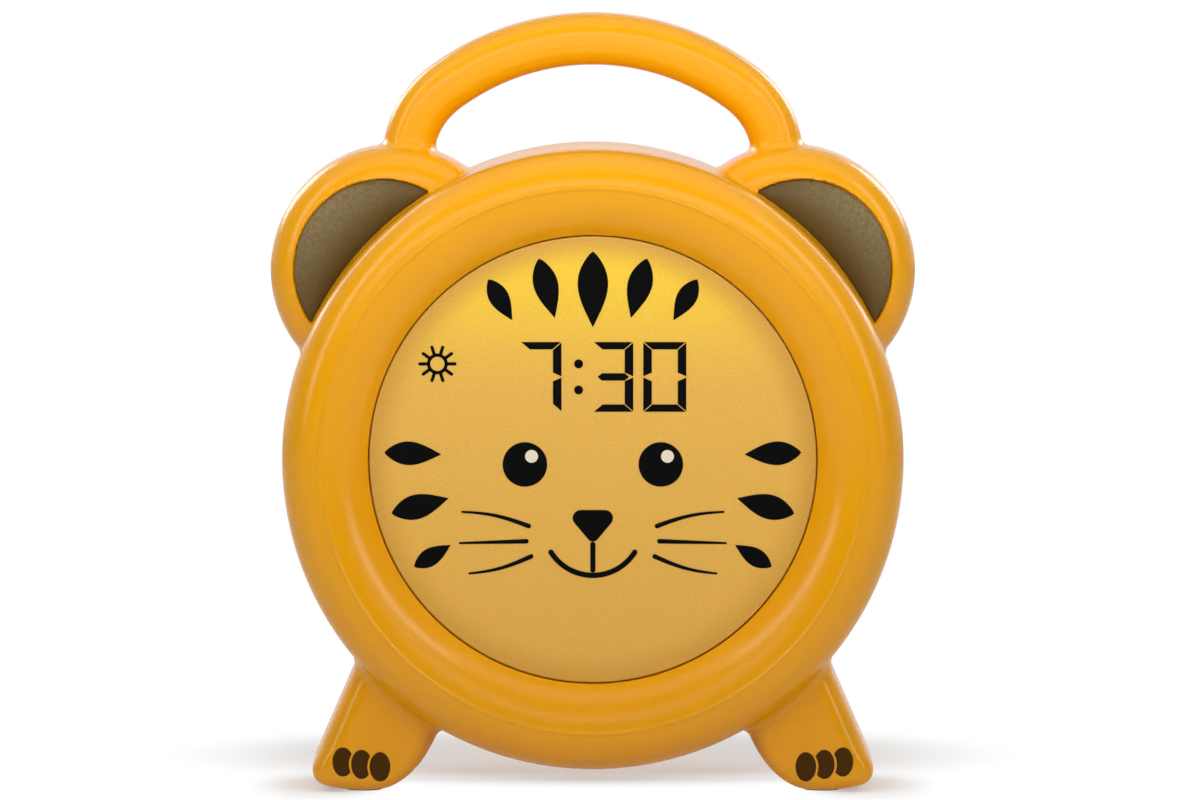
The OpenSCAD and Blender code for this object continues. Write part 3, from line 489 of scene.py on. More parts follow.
def skin(solid, low, high, step=GRID):
    """Points and four-sided faces on a solid's skin: one point in each cell that it crosses."""
    axes = [np.arange(a - 2*step, b + 3*step, step) for a, b in zip(low, high)]
    field = solid(*np.ix_(*axes)).astype(np.float32)
    inside = field < 0
    cells = crossed_cells(inside)
    number = np.full([n - 1 for n in field.shape], -1, np.int64)
    number[tuple(cells.T)] = np.arange(len(cells))
    points = (cells + cell_points(field, cells))*step + np.array([a[0] for a in axes])
    quads = [quads_across(inside, number, axis) for axis in range(3)]
    return settle(solid, points, step), np.concatenate(quads)


def crossed_cells(inside):
    """Cells of the grid with corners on both sides of the skin."""
    sizes = [n - 1 for n in inside.shape]
    count = np.zeros(sizes, np.int8)
    for i, j, k in np.ndindex(2, 2, 2):
        count += inside[i:i + sizes[0], j:j + sizes[1], k:k + sizes[2]]
    return np.argwhere((count > 0) & (count < 8))


def cell_points(field, cells):
    """Middle of the places where the skin crosses each cell's edges."""
    total = np.zeros((len(cells), 3))
    hits = np.zeros(len(cells))
    for axis in range(3):
        across = [a for a in range(3) if a != axis]
        along = np.eye(3, dtype=int)[axis]
        for corner in np.ndindex(2, 2):
            start = np.zeros(3, int)
            start[across] = corner
            a = field[tuple((cells + start).T)]
            b = field[tuple((cells + start + along).T)]
            crossed = (a < 0) != (b < 0)
            t = np.where(crossed, a/np.where(crossed, a - b, 1), 0)
            total[crossed] += (start + along*t[:, None])[crossed]
            hits += crossed
    return total/hits[:, None]


def quads_across(inside, number, axis):
    """Faces round the grid's edges along one axis that cross the skin."""
    across = [a for a in range(3) if a != axis]
    inner = [slice(1, n - 1) for n in inside.shape]
    inner[axis] = slice(0, inside.shape[axis] - 1)
    ahead = list(inner)
    ahead[axis] = slice(1, inside.shape[axis])
    a, b = inside[tuple(inner)], inside[tuple(ahead)]
    edges = np.argwhere(a != b)
    leaving = a[tuple(edges.T)]
    edges[:, across] += 1
    steps = np.zeros((4, 3), int)
    steps[:, across] = [(-1, -1), (0, -1), (0, 0), (-1, 0)]
    quads = np.stack([number[tuple((edges + s).T)] for s in steps], 1)
    turned_round = leaving if axis == 1 else ~leaving
    quads[turned_round] = quads[turned_round][:, ::-1]
    return quads


def settle(solid, points, step):
    """Moves points on to the skin."""
    p = points.T
    for _ in range(2):
        g = outward(solid, p)
        move = solid(*p)/np.maximum((g*g).sum(0), 0.3)
        p = p - g*np.clip(move, -step/3, step/3)
    return p.T


def mesh_piece(name, points, faces, body, slot, *replaced):
    """A piece of the clock from points in the elevation, riding on its body."""
    mesh = bpy.data.meshes.new(name)
    mesh.from_pydata(place(points).tolist(), [], [list(map(int, f)) for f in faces])
    mesh.validate()
    mesh.shade_smooth()
    piece = bpy.data.objects.new(name, mesh)
    bpy.context.scene.collection.objects.link(piece)
    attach(piece, body)
    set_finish(piece, slot)
    if replaced:
        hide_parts(*replaced)
    MADE.append(piece)
    return piece


def moulded(name, solid, low, high, node):
    """A shell meshed on its field, coarser inside, shaded with the field's own directions."""
    piece = mesh_piece(name, *skin(solid, low, high), "clock", "orange_abs", node)
    inner = piece.vertex_groups.new(name="inner")
    p = elevation(piece.data)
    hidden = whole_body(*p.T) < -WALL/2
    inner.add(np.flatnonzero(hidden).tolist(), 1.0, "REPLACE")
    fewer = piece.modifiers.new("fewer_inside", "DECIMATE")
    fewer.vertex_group = "inner"
    fewer.ratio = 1 - (1 - INNER_SHARE)*float(hidden.mean())
    mesh = bpy.data.meshes.new_from_object(piece.evaluated_get(bpy.context.evaluated_depsgraph_get()))
    mesh.name = name
    piece.modifiers.clear()
    piece.vertex_groups.clear()
    piece.data = mesh
    n = outward(solid, elevation(mesh).T)
    n = np.stack([n[0], -n[2], n[1]], 1)
    n /= np.maximum(np.linalg.norm(n, axis=1), 1e-6)[:, None]
    mesh.normals_split_custom_set_from_vertices(n.tolist())
    return piece


def elevation(mesh):
    """A mesh's points, back from the frame to the elevation in millimetres."""
    p = np.empty(len(mesh.vertices)*3, np.float32)
    mesh.vertices.foreach_get("co", p)
    p = p.reshape(-1, 3).astype(float)/MM
    return np.stack([p[:, 0], p[:, 2] - FACE_H, PARTING - p[:, 1]], 1)


# ------------------------------------------------------- turned and flat pieces

def rounded_corners(corners, radii, steps=6):
    """A closed outline whose corners are arcs of the given radii."""
    outline = []
    n = len(corners)
    for k in range(n):
        p = Vector(corners[k])
        a = (Vector(corners[k - 1]) - p).normalized()
        b = (Vector(corners[(k + 1) % n]) - p).normalized()
        if radii[k] == 0:
            outline.append(tuple(p))
            continue
        half = a.angle(b)/2
        centre = p + (a + b).normalized()*(radii[k]/math.sin(half))
        start = p + a*(radii[k]/math.tan(half)) - centre
        end = p + b*(radii[k]/math.tan(half)) - centre
        turn = start.angle_signed(end)
        for i in range(steps + 1):
            arm = start.copy()
            arm.rotate(Matrix.Rotation(-turn*i/steps, 2))
            outline.append(tuple(centre + arm))
    return outline


def turned(name, profile, body, slot, *replaced, capped=False, sides=256):
    """A profile of (radius, depth) turned round the face's axis. It is closed, or
    capped with flat faces at its ends."""
    profile = np.array(profile)
    a = np.arange(sides)*2*math.pi/sides
    rings = [np.stack([r*np.cos(a), r*np.sin(a), np.full(sides, z)], 1) for r, z in profile]
    points = np.concatenate(rings)
    n = len(profile)
    faces = []
    if capped:
        faces = [list(range((n - 1)*sides, n*sides))[::-1], list(range(sides))]
    for k in range(n - capped):
        for i in range(sides):
            j = (i + 1) % sides
            m = (k + 1) % n
            faces.append((k*sides + i, k*sides + j, m*sides + j, m*sides + i))
    piece = mesh_piece(name, points, faces, body, slot, *replaced)
    if turned_inward(profile):
        piece.data.flip_normals()
    piece.data.set_sharp_from_angle(angle=math.radians(35))
    return piece


def turned_inward(profile):
    """Whether a profile runs the way that leaves its faces looking inwards."""
    return area(profile) > 0


def plates(name, outlines, low, high, body, slot, *replaced):
    """Flat plates of several closed outlines, between two depths."""
    points, faces = [], []
    for outline in outlines:
        if area(outline) < 0:
            outline = outline[::-1]
        n = len(outline)
        base = len(points)
        points += [(x, y, low) for x, y in outline] + [(x, y, high) for x, y in outline]
        faces.append([base + n + i for i in range(n)])
        faces.append([base + n - 1 - i for i in range(n)])
        for i in range(n):
            j = (i + 1) % n
            faces.append([base + i, base + j, base + n + j, base + n + i])
    piece = mesh_piece(name, points, faces, body, slot, *replaced)
    piece.data.set_sharp_from_angle(angle=math.radians(35))
    return piece


def area(outline):
    """Area inside a closed outline, below zero where it runs clockwise."""
    p = np.array(outline)
    x, y = p[:, 0], p[:, 1]
    return float((x*np.roll(y, -1) - y*np.roll(x, -1)).sum()/2)


def edge_round(field, centre, reach, sides=180):
    """Points where rays from a centre leave an outline given as a field."""
    a = np.arange(sides)*2*math.pi/sides
    near, far = np.zeros(sides), np.full(sides, reach)
    for _ in range(30):
        r = (near + far)/2
        within = field(centre[0] + r*np.cos(a), centre[1] + r*np.sin(a)) < 0
        near, far = np.where(within, r, near), np.where(within, far, r)
    return np.stack([np.cos(a), np.sin(a)], 1), near


def crown_rings(centre, way, r, dome, heights, edge_r):
    """Rings of points from the back, over the rounded edge, towards the face's centre."""
    low, edge, top = heights
    sides = [(0.0, low)]
    for k in range(5):
        a = k*math.pi/8
        sides.append((edge_r*(1 - math.cos(a)), edge - edge_r*(1 - math.sin(a))))
    rings = [[(*(centre + u*(d - inset)), z) for u, d in zip(way, r)] for inset, z in sides]
    for k in range(1, 12):
        p = centre + way*((r - edge_r)*(1 - k/12))[:, None]
        rings.append([(x, y, edge + (top - edge)*dome(x, y)) for x, y in p])
    return rings


def crowned(name, parts, heights, edge_r, body, slot, *replaced):
    """Inlays with a softly crowned face. Each part is a field, a centre, its reach and
    its dome, from 0 at the edge to 1; heights are those of the back, the edge of the
    face and the top of the dome."""
    edge, top = heights[1:]
    points, faces = [], []
    for field, centre, reach, dome in parts:
        way, r = edge_round(field, centre, reach)
        rings = crown_rings(centre, way, r, dome, heights, edge_r)
        n = len(r)
        base = len(points)
        for ring in rings:
            points += ring
        points.append((*centre, edge + (top - edge)*dome(*centre)))
        last = len(rings) - 1
        for k in range(last):
            for i in range(n):
                j = (i + 1) % n
                a, b = base + k*n, base + (k + 1)*n
                faces.append([a + i, a + j, b + j, b + i])
        a = base + last*n
        faces += [[a + i, a + (i + 1) % n, a + n] for i in range(n)]
        faces.append([base + n - 1 - i for i in range(n)])
    return mesh_piece(name, points, faces, body, slot, *replaced)


# ------------------------------------------------------- bezel, window, inlays

def arc(start, end, bulge, steps=14):
    """Points of a shallow arc between two points, raised by bulge on its right."""
    a, b = Vector(start), Vector(end)
    side = Vector(((b - a).y, -(b - a).x)).normalized()
    return [a.lerp(b, i/steps) + side*bulge*4*(i/steps)*(1 - i/steps) for i in range(steps + 1)]


def bead():
    """Fine ridge along the bezel's edge, from the shell inwards."""
    points = []
    for i in range(17):
        t = i/16
        rise = BEAD_RISE*math.sin(math.pi*t)**2
        z = BEAD_FOOT + (BEZEL_OUT[1] - BEAD_FOOT)*t + rise
        points.append((BEZEL_OUT[0] + BEAD_WIDTH*(1 - t), z))
    return points


def lip(before, corner, after):
    """Rounding of a profile's corner."""
    p = Vector(corner)
    a = p + (Vector(before) - p).normalized()*LIP_IN_R
    b = p + (Vector(after) - p).normalized()*LIP_IN_R
    return [tuple(a.lerp(p, i/6).lerp(p.lerp(b, i/6), i/6)) for i in range(7)]


def bezel():
    """Sloping ring, steeper towards the window. Its beaded edge covers the pocket's."""
    under = BEAD_FOOT - BEAD_LAP
    profile = [(BEZEL_R, SEAT), (BEZEL_R, BEZEL_RIM[1]), BEZEL_RIM, (BEZEL_RIM[0], under)]
    profile += [(BEZEL_OUT[0] + BEAD_WIDTH, under)] + bead()
    slope = [tuple(p) for p in arc(BEZEL_OUT, BEZEL_IN, BEZEL_BULGE)]
    profile += slope[1:-1] + lip(slope[-2], BEZEL_IN, (BEZEL_IN[0], LIP_Z))
    profile += [(BEZEL_IN[0], LIP_Z), (SEAT_R, LIP_Z), (SEAT_R, SEAT)]
    return turned("bezel", profile, "clock", "orange_abs", "bezel_ring")


def window():
    """Amber window: a disc with an eased front edge on a wider flange."""
    profile = [(FLANGE_R, SEAT), (FLANGE_R, FLANGE_TOP), (LENS_R, FLANGE_TOP)]
    for i in range(7):
        a = i*math.pi/12
        r = LENS_R - LENS_EASE*(1 - math.cos(a))
        profile.append((r, LENS_FACE - LENS_EASE*(1 - math.sin(a))))
    return turned("window", profile, "clock", "amber_window", "window_lens", capped=True)


def ear_pad(name, side, node):
    """Grained inlay of one ear, gently crowned; side is -1 for the left ear."""
    centre = np.array([side*PAD_MIDDLE[0], PAD_MIDDLE[1]])

    def outline(x, y):
        return np.where(x*side > 0, inlay_outline(x, y) + PAD_GAP, 1.0)

    parts = [(outline, centre, PAD_REACH, pad_dome)]
    heights = (PAD_BACK, PAD_EDGE, PAD_TOP)
    return crowned(name, parts, heights, PAD_ROUND, "clock", "brown_inlay", node)


def pad_dome(x, y):
    """Smooth rise between the two arcs of an ear pad."""
    outer = INLAY_R - circle(abs(x), y, INLAY, 0)
    inner = math.hypot(x, y) - INLAY_SIDE_R
    return (outer + inner - math.hypot(outer, inner))/PAD_SPREAD


def toe_part(side, i):
    """Outline, centre, reach and dome of one toe. A toe behind another is centred on
    what shows of it."""
    middle = TOE[0] + i*TOE_PITCH + (HIDDEN_TOE if i else 0)
    centre = np.array([side*middle, TOE[1] + i*TOE_DROP])

    def outline(x, y):
        return toe_outline(x, y, i)

    def dome(x, y):
        return 1 - math.hypot(x - centre[0], y - centre[1])**2/TOE_HALF[1]**2

    return outline, centre, TOE_REACH, dome


def toes(name, side, node):
    """Three toes of one paw, each a low dome."""
    parts = [toe_part(side, i) for i in range(3)]
    heights = (TOE_FACE - TOE_SUNK, TOE_FACE, TOE_FACE + TOE_CROWN)
    return crowned(name, parts, heights, TOE_EDGE, "clock", "brown_toe", node)


# ---------------------------------------------------------- print on the window
# All of it is one screen-printed layer on the window's front.

def stroke(line, width, taper=1.0, steps=8):
    """Outline of a drawn line with round ends; taper is its last width over its first."""
    p = np.array(line, float)
    d = np.gradient(p, axis=0)
    d /= np.hypot(*d.T)[:, None]
    n = np.stack([-d[:, 1], d[:, 0]], 1)
    half = np.linspace(width/2, width/2*taper, len(p))[:, None]
    turn = np.linspace(0, math.pi, steps + 1)[1:-1, None]
    end = p[-1] + half[-1]*(np.cos(turn)*n[-1] + np.sin(turn)*d[-1])
    start = p[0] - half[0]*(np.cos(turn)*n[0] + np.sin(turn)*d[0])
    return np.concatenate([p + n*half, end, (p - n*half)[::-1], start]).tolist()


def leaf(angle, reach, length, width):
    """A leaf-shaped fur mark that points at the middle of the face."""
    t = np.linspace(0, 1, 25)
    along = reach + (t - 0.5)*length
    half = width/2*np.sin(math.pi*t**1.25)**0.8
    a = math.radians(angle)
    c, s = math.cos(a), math.sin(a)
    upper = [(u*c - v*s, u*s + v*c) for u, v in zip(along, half)]
    lower = [(u*c + v*s, u*s - v*c) for u, v in zip(along, half)]
    return lower + upper[-2:0:-1]


def disc(at, r, sides=48):
    turn = [i*2*math.pi/sides for i in range(sides)]
    return [(at[0] + r*math.cos(a), at[1] + r*math.sin(a)) for a in turn]


def nose():
    """A rounded triangle, broad at the top."""
    corners = [(-NOSE[0], NOSE_Y), (0, NOSE_Y - NOSE[1]), (NOSE[0], NOSE_Y)]
    return rounded_corners(corners, [1.7, 1.3, 1.7])


def smile():
    turn = np.linspace(math.radians(212), math.radians(328), 40)
    return [(SMILE_R*math.cos(a), SMILE_Y + SMILE_R*math.sin(a)) for a in turn]


def whisker(side, i):
    """One of three whiskers on a cheek, bowed a little."""
    start, end = WHISKERS[i]
    t = np.linspace(0, 1, 12)
    x = start[0] + (end[0] - start[0])*t
    y = start[1] + (end[1] - start[1])*t + WHISKER_BOW*np.sin(math.pi*t)*(1 - i)
    return stroke(np.stack([side*x, y], 1), WHISKER_WIDTH, WHISKER_TAPER)


def fur(angle, length, width):
    """A fur mark whose outer end lies on the circle of all of them."""
    return leaf(angle, FUR_END - length/2, length, width)


def face_print():
    """Face of a cub: fur marks, eyes, nose, mouth and whiskers."""
    marks = [fur(*mark) for mark in FOREHEAD]
    for angle, length, width in CHEEKS:
        marks += [fur(a, length, width) for a in (angle, 180 - angle)]
    for side in (-1, 1):
        marks.append(disc((side*EYE[0], EYE[1]), EYE_R))
        marks += [whisker(side, i) for i in range(3)]
    lip_line = [(0, NOSE_Y - NOSE[1] + 0.15), (0, SMILE_Y - SMILE_R + 1.13)]
    marks += [nose(), stroke(smile(), SMILE_WIDTH), stroke(lip_line, LIP_WIDTH)]
    plates("face_print", marks, LENS_FACE, PRINT_FACE, "clock", "black_plastic")
    glints = [disc((side*EYE[0] + GLINT[0], EYE[1] + GLINT[1]), GLINT_R) for side in (-1, 1)]
    plates("eye_glints", glints, PRINT_FACE, GLINT_FACE, "clock", "cream_key")


# Digits of the display, as (left, right, lit bars)
DIGITS = [(-15.2, -6.6, "abc"), (0.1, 8.5, "abcdg"), (10.6, 19.65, "abcdef")]


def bars(left, right, lit):
    """Seven-bar digit with mitred bars."""
    h, v, g = BAR_H, BAR_V, BAR_GAP
    top, low = DIGIT_TOP, DIGIT_LOW
    mid = (top + low)/2
    upper = [(right, top - g), (right, mid + g), (right - v, mid + h/2 + g), (right - v, top - h - g)]
    across = [(left + g, top), (left + v + g, top - h), (right - v - g, top - h), (right - g, top)]
    middle = [(left + v/2, mid), (left + v, mid + h/2), (right - v, mid + h/2), (right - v/2, mid),
              (right - v, mid - h/2), (left + v, mid - h/2)]
    flip = {
        "a": across, "d": [(x, 2*mid - y) for x, y in across], "g": middle,
        "b": upper, "c": [(x, 2*mid - y) for x, y in upper],
        "f": [(left + right - x, y) for x, y in upper],
        "e": [(left + right - x, 2*mid - y) for x, y in upper],
    }
    return [flip[bar] for bar in lit]


def display_signs():
    """Time and the sun that shows day."""
    signs = [bar for digit in DIGITS for bar in bars(*digit)]
    signs += [disc((COLON_X, y), COLON_R, 32) for y in COLON_Y]
    plates("time_digits", signs, LENS_FACE, PRINT_FACE, "clock", "black_plastic")
    x, y = SUN
    turn = np.linspace(math.radians(1), math.radians(359), 60)
    ring = [(x + SUN_R*math.cos(a), y + SUN_R*math.sin(a)) for a in turn]
    sun = [stroke(ring, SUN_LINE, 1.0, 2)]
    for k in range(SUN_RAYS):
        a = k*2*math.pi/SUN_RAYS
        u = np.array([math.cos(a), math.sin(a)])
        sun.append(stroke([SUN + u*r for r in SUN_RAY], SUN_LINE, 1.0, 4))
    plates("sun_sign", sun, LENS_FACE, PRINT_FACE, "clock", "black_plastic")


# -------------------------------------------------------------- materials

def srgb(code):
    """Linear colour of an sRGB hex value."""
    values = [int(code[i:i + 2], 16)/255 for i in (1, 3, 5)]
    return tuple(v/12.92 if v <= 0.04045 else ((v + 0.055)/1.055)**2.4 for v in values) + (1.0,)


def material(name, **shader):
    """A material with its shader's fixed settings."""
    m = bpy.data.materials.new(name)
    m.use_nodes = True
    sockets = {s.name.replace(" ", "_").lower(): s for s in m.node_tree.nodes["Principled BSDF"].inputs}
    for key, value in shader.items():
        sockets[key].default_value = value
    return m


def add(m, kind, sockets=None, to=None, **settings):
    """Adds a node. sockets gives each input a value or a (node, output); to is the
    (output, shader input) that it feeds."""
    node = m.node_tree.nodes.new("ShaderNode" + kind)
    for key, value in settings.items():
        setattr(node, key, value)
    for key, value in (sockets or {}).items():
        if isinstance(value, tuple) and isinstance(value[0], bpy.types.Node):
            m.node_tree.links.new(value[0].outputs[value[1]], node.inputs[key])
        else:
            node.inputs[key].default_value = value
    if to:
        shader = m.node_tree.nodes["Principled BSDF"]
        m.node_tree.links.new(node.outputs[to[0]], shader.inputs[to[1]])
    return node


def per_mm(size):
    """Noise scale whose grains are about so many millimetres."""
    return 1/(size*MM)


def band_scale(size):
    """Wave scale whose bands lie so many millimetres apart: a wave turns 20 radians
    for each unit."""
    return per_mm(size)*2*math.pi/20


def moulded_plastic(name, light, dark, roughness, grain, relief, ior=1.49, **shader):
    """Plastic moulded in one colour. The colour clouds faintly, the gloss varies with
    it, and the tool's grain (mm) lifts the surface by relief (mm)."""
    m = material(name, ior=ior, **shader)
    spot = add(m, "TexCoord")
    cloud = add(m, "TexNoise", {"Vector": (spot, "Object"), "Scale": per_mm(24), "Detail": 3.0})
    add(m, "Mix", {0: (cloud, 0), 6: srgb(light), 7: srgb(dark)}, (2, "Base Color"), data_type="RGBA")
    add(m, "MapRange", {"Value": (cloud, 0), "To Min": roughness - 0.03, "To Max": roughness + 0.04},
        ("Result", "Roughness"))
    skin_grain = add(m, "TexNoise", {"Vector": (spot, "Object"), "Scale": per_mm(grain), "Detail": 2.0})
    add(m, "Bump", {"Height": (skin_grain, 0), "Distance": relief*MM}, ("Normal", "Normal"))
    return m


def plated_metal(name, light, dark, roughness, line):
    """Plated sheet or wire: fine drawn lines (mm apart) in tone and gloss."""
    m = material(name, metallic=1.0)
    spot = add(m, "TexCoord")
    drawn = add(m, "Mapping", {"Vector": (spot, "Object"), "Scale": (1.0, 1.0, 0.08)})
    lines = add(m, "TexNoise", {"Vector": (drawn, "Vector"), "Scale": per_mm(line), "Detail": 3.0})
    add(m, "Mix", {0: (lines, 0), 6: srgb(light), 7: srgb(dark)}, (2, "Base Color"), data_type="RGBA")
    add(m, "MapRange", {"Value": (lines, 0), "To Min": roughness - 0.06, "To Max": roughness + 0.08},
        ("Result", "Roughness"))
    return m


def orange_abs():
    """ABS from a polished tool: satin-gloss skin with faint orange peel, 2.2 mm across,
    and a little light in its depth."""
    return moulded_plastic("moulded_abs_orange", ORANGE_LIGHT, ORANGE_DARK, 0.23, 2.2, 0.012, 1.53,
                           specular_ior_level=0.42, subsurface_weight=0.06, subsurface_scale=0.0015,
                           subsurface_radius=(1.0, 0.35, 0.08))


def off_axis(m, spot):
    """Nodes for a point's place from the middle of the face, and its distance from the axis."""
    middle = add(m, "VectorMath", {0: (spot, "Object"), 1: (0, 0, -FACE_H*MM)}, operation="ADD")
    flat = add(m, "VectorMath", {0: (middle, 0), 1: (1, 0, 1)}, operation="MULTIPLY")
    return middle, add(m, "VectorMath", {0: (flat, 0)}, operation="LENGTH")


def amber_acrylic():
    """Acrylic window, frosted so that its lamps don't show as points. It is yellower
    towards the top, a painted glow of the lamps behind it, and darker round the rim,
    painted shade. Its 0.3 mm grain is drawn at 0.42 mm, coarser than it is, so that it shows."""
    m = material("frosted_amber_acrylic", ior=1.49)
    spot = add(m, "TexCoord")
    middle, reach = off_axis(m, spot)
    split = add(m, "SeparateXYZ", {0: (middle, 0)})
    # Painted glow: the colour shifts with height and turns yellow towards the top
    rise = add(m, "MapRange", {"Value": (split, "Z"), "From Min": -0.046, "From Max": 0.046})
    upper = add(m, "MapRange", {"Value": (split, "Z"), "From Min": 0.012, "From Max": 0.043},
                interpolation_type="SMOOTHSTEP")
    body = add(m, "Mix", {0: (rise, 0), 6: srgb(AMBER_LOW), 7: srgb(AMBER_MID)}, data_type="RGBA")
    glow_painted = add(m, "Mix", {0: (upper, 0), 6: (body, 2), 7: srgb(AMBER_PAINTED_GLOW)}, data_type="RGBA")
    # Painted shade: darker round the rim, next to the bezel
    rim = add(m, "MapRange", {"Value": (reach, "Value"), "From Min": 0.0400, "From Max": 0.0470},
              interpolation_type="SMOOTHSTEP")
    shade = add(m, "Mix", {0: (rim, 0), 6: (glow_painted, 2), 7: srgb(AMBER_RIM_PAINTED_SHADE)}, data_type="RGBA")
    grain = add(m, "TexNoise", {"Vector": (spot, "Object"), "Scale": per_mm(0.42), "Detail": 2.0,
                                "Roughness": 0.7})
    speck = add(m, "MapRange", {"Value": (grain, 0), "To Min": 0.80, "To Max": 1.20})
    add(m, "VectorMath", {0: (shade, 2), "Scale": (speck, 0)}, ("Vector", "Base Color"),
        operation="SCALE")
    add(m, "MapRange", {"Value": (grain, 0), "To Min": 0.42, "To Max": 0.56}, ("Result", "Roughness"))
    add(m, "Bump", {"Height": (grain, 0), "Distance": 0.02*MM}, ("Normal", "Normal"))
    return m


def ear_leather():
    """Soft-touch plastic with a moulded leather grain: pebbles 0.6 mm across between
    fine creases, dull in the creases and paler on the pebbles. It is darker towards
    the body: painted shade where the ring shades the pad."""
    m = material("leather_grain_plastic", ior=1.5, specular_ior_level=0.3, sheen_weight=0.05)
    spot = add(m, "TexCoord")
    warp = add(m, "TexNoise", {"Vector": (spot, "Object"), "Scale": per_mm(2.0), "Detail": 2.0})
    bent = add(m, "VectorMath", {0: (warp, "Color"), 1: (0.0004, 0.0004, 0.0004), 2: (spot, "Object")},
               operation="MULTIPLY_ADD")
    pebbles = add(m, "TexVoronoi", {"Vector": (bent, 0), "Scale": per_mm(0.6)}, feature="SMOOTH_F1")
    depth = add(m, "MapRange", {"Value": (pebbles, "Distance"), "From Min": 0.0, "From Max": 0.75,
                                "To Min": 1.0, "To Max": 0.0})
    grain = add(m, "Mix", {0: (depth, 0), 6: srgb(PAD_DARK), 7: srgb(PAD_LIGHT)}, data_type="RGBA")
    # Painted shade: darker towards the body, where the ring shades the pad
    reach = off_axis(m, spot)[1]
    body_shade_painted = add(m, "MapRange", {"Value": (reach, "Value"), "From Min": 0.065, "From Max": 0.085},
                 interpolation_type="SMOOTHSTEP")
    add(m, "Mix", {0: (body_shade_painted, 0), 6: srgb(PAD_PAINTED_SHADE), 7: (grain, 2)}, (2, "Base Color"),
        data_type="RGBA")
    add(m, "MapRange", {"Value": (depth, 0), "To Min": 0.55, "To Max": 0.4}, ("Result", "Roughness"))
    add(m, "Bump", {"Height": (depth, 0), "Distance": 0.05*MM}, ("Normal", "Normal"))
    return m


def print_ink():
    """Screen-printed black: a dense satin film with a slight mottle."""
    return moulded_plastic("screen_print_black", "#060607", "#0B0B0C", 0.45, 0.5, 0.004, 1.5,
                           specular_ior_level=0.08)


def solder_mask():
    """Green mask over a board, with paler tracks. The glass cloth's 0.5 mm weave shows
    faintly, in bands drawn 3.1 mm apart, coarser than it is, so that they show."""
    m = material("green_solder_mask", ior=1.5, roughness=0.3)
    spot = add(m, "TexCoord")
    weave = add(m, "TexWave", {"Vector": (spot, "Object"), "Scale": band_scale(3.1416),
                               "Distortion": 1.0})
    tracks = add(m, "TexBrick", {"Vector": (spot, "Object"), "Scale": per_mm(6.0), "Mortar Size": 0.012,
                                 "Color1": srgb("#1C5C36"), "Color2": srgb("#1A5532"),
                                 "Mortar": srgb("#2F7E4C")})
    add(m, "Mix", {0: (weave, "Fac"), 6: (tracks, "Color"), 7: srgb("#174E2D")}, (2, "Base Color"),
        data_type="RGBA")
    add(m, "Bump", {"Height": (tracks, "Fac"), "Distance": 0.03*MM}, ("Normal", "Normal"))
    return m


def flat_cable():
    """Grey ribbon cable. Its wires lie 1.27 mm apart and are drawn 2.5 mm apart,
    coarser than they are, so that they show."""
    m = material("grey_ribbon_pvc", ior=1.52, roughness=0.4)
    spot = add(m, "TexCoord")
    wires = add(m, "TexWave", {"Vector": (spot, "Object"), "Scale": band_scale(2.507)})
    add(m, "Mix", {0: (wires, "Fac"), 6: srgb("#9C9C98"), 7: srgb("#C9C9C4")}, (2, "Base Color"),
        data_type="RGBA")
    add(m, "Bump", {"Height": (wires, "Fac"), "Distance": 0.2*MM}, ("Normal", "Normal"))
    return m


def paper_cone():
    """Coated paper pulp: short fibres, matt and dark."""
    return moulded_plastic("coated_paper", "#1B1B1D", "#2A2A2B", 0.8, 0.35, 0.03, 1.45)


def speaker_foam():
    """Closed-cell foam with 0.6 mm cells."""
    m = material("closed_cell_foam", ior=1.4, roughness=0.9)
    spot = add(m, "TexCoord")
    cells = add(m, "TexVoronoi", {"Vector": (spot, "Object"), "Scale": per_mm(0.6)})
    add(m, "Mix", {0: (cells, "Distance"), 6: srgb("#505050"), 7: srgb("#2E2E2E")}, (2, "Base Color"),
        data_type="RGBA")
    add(m, "Bump", {"Height": (cells, "Distance"), "Distance": 0.15*MM}, ("Normal", "Normal"))
    return m


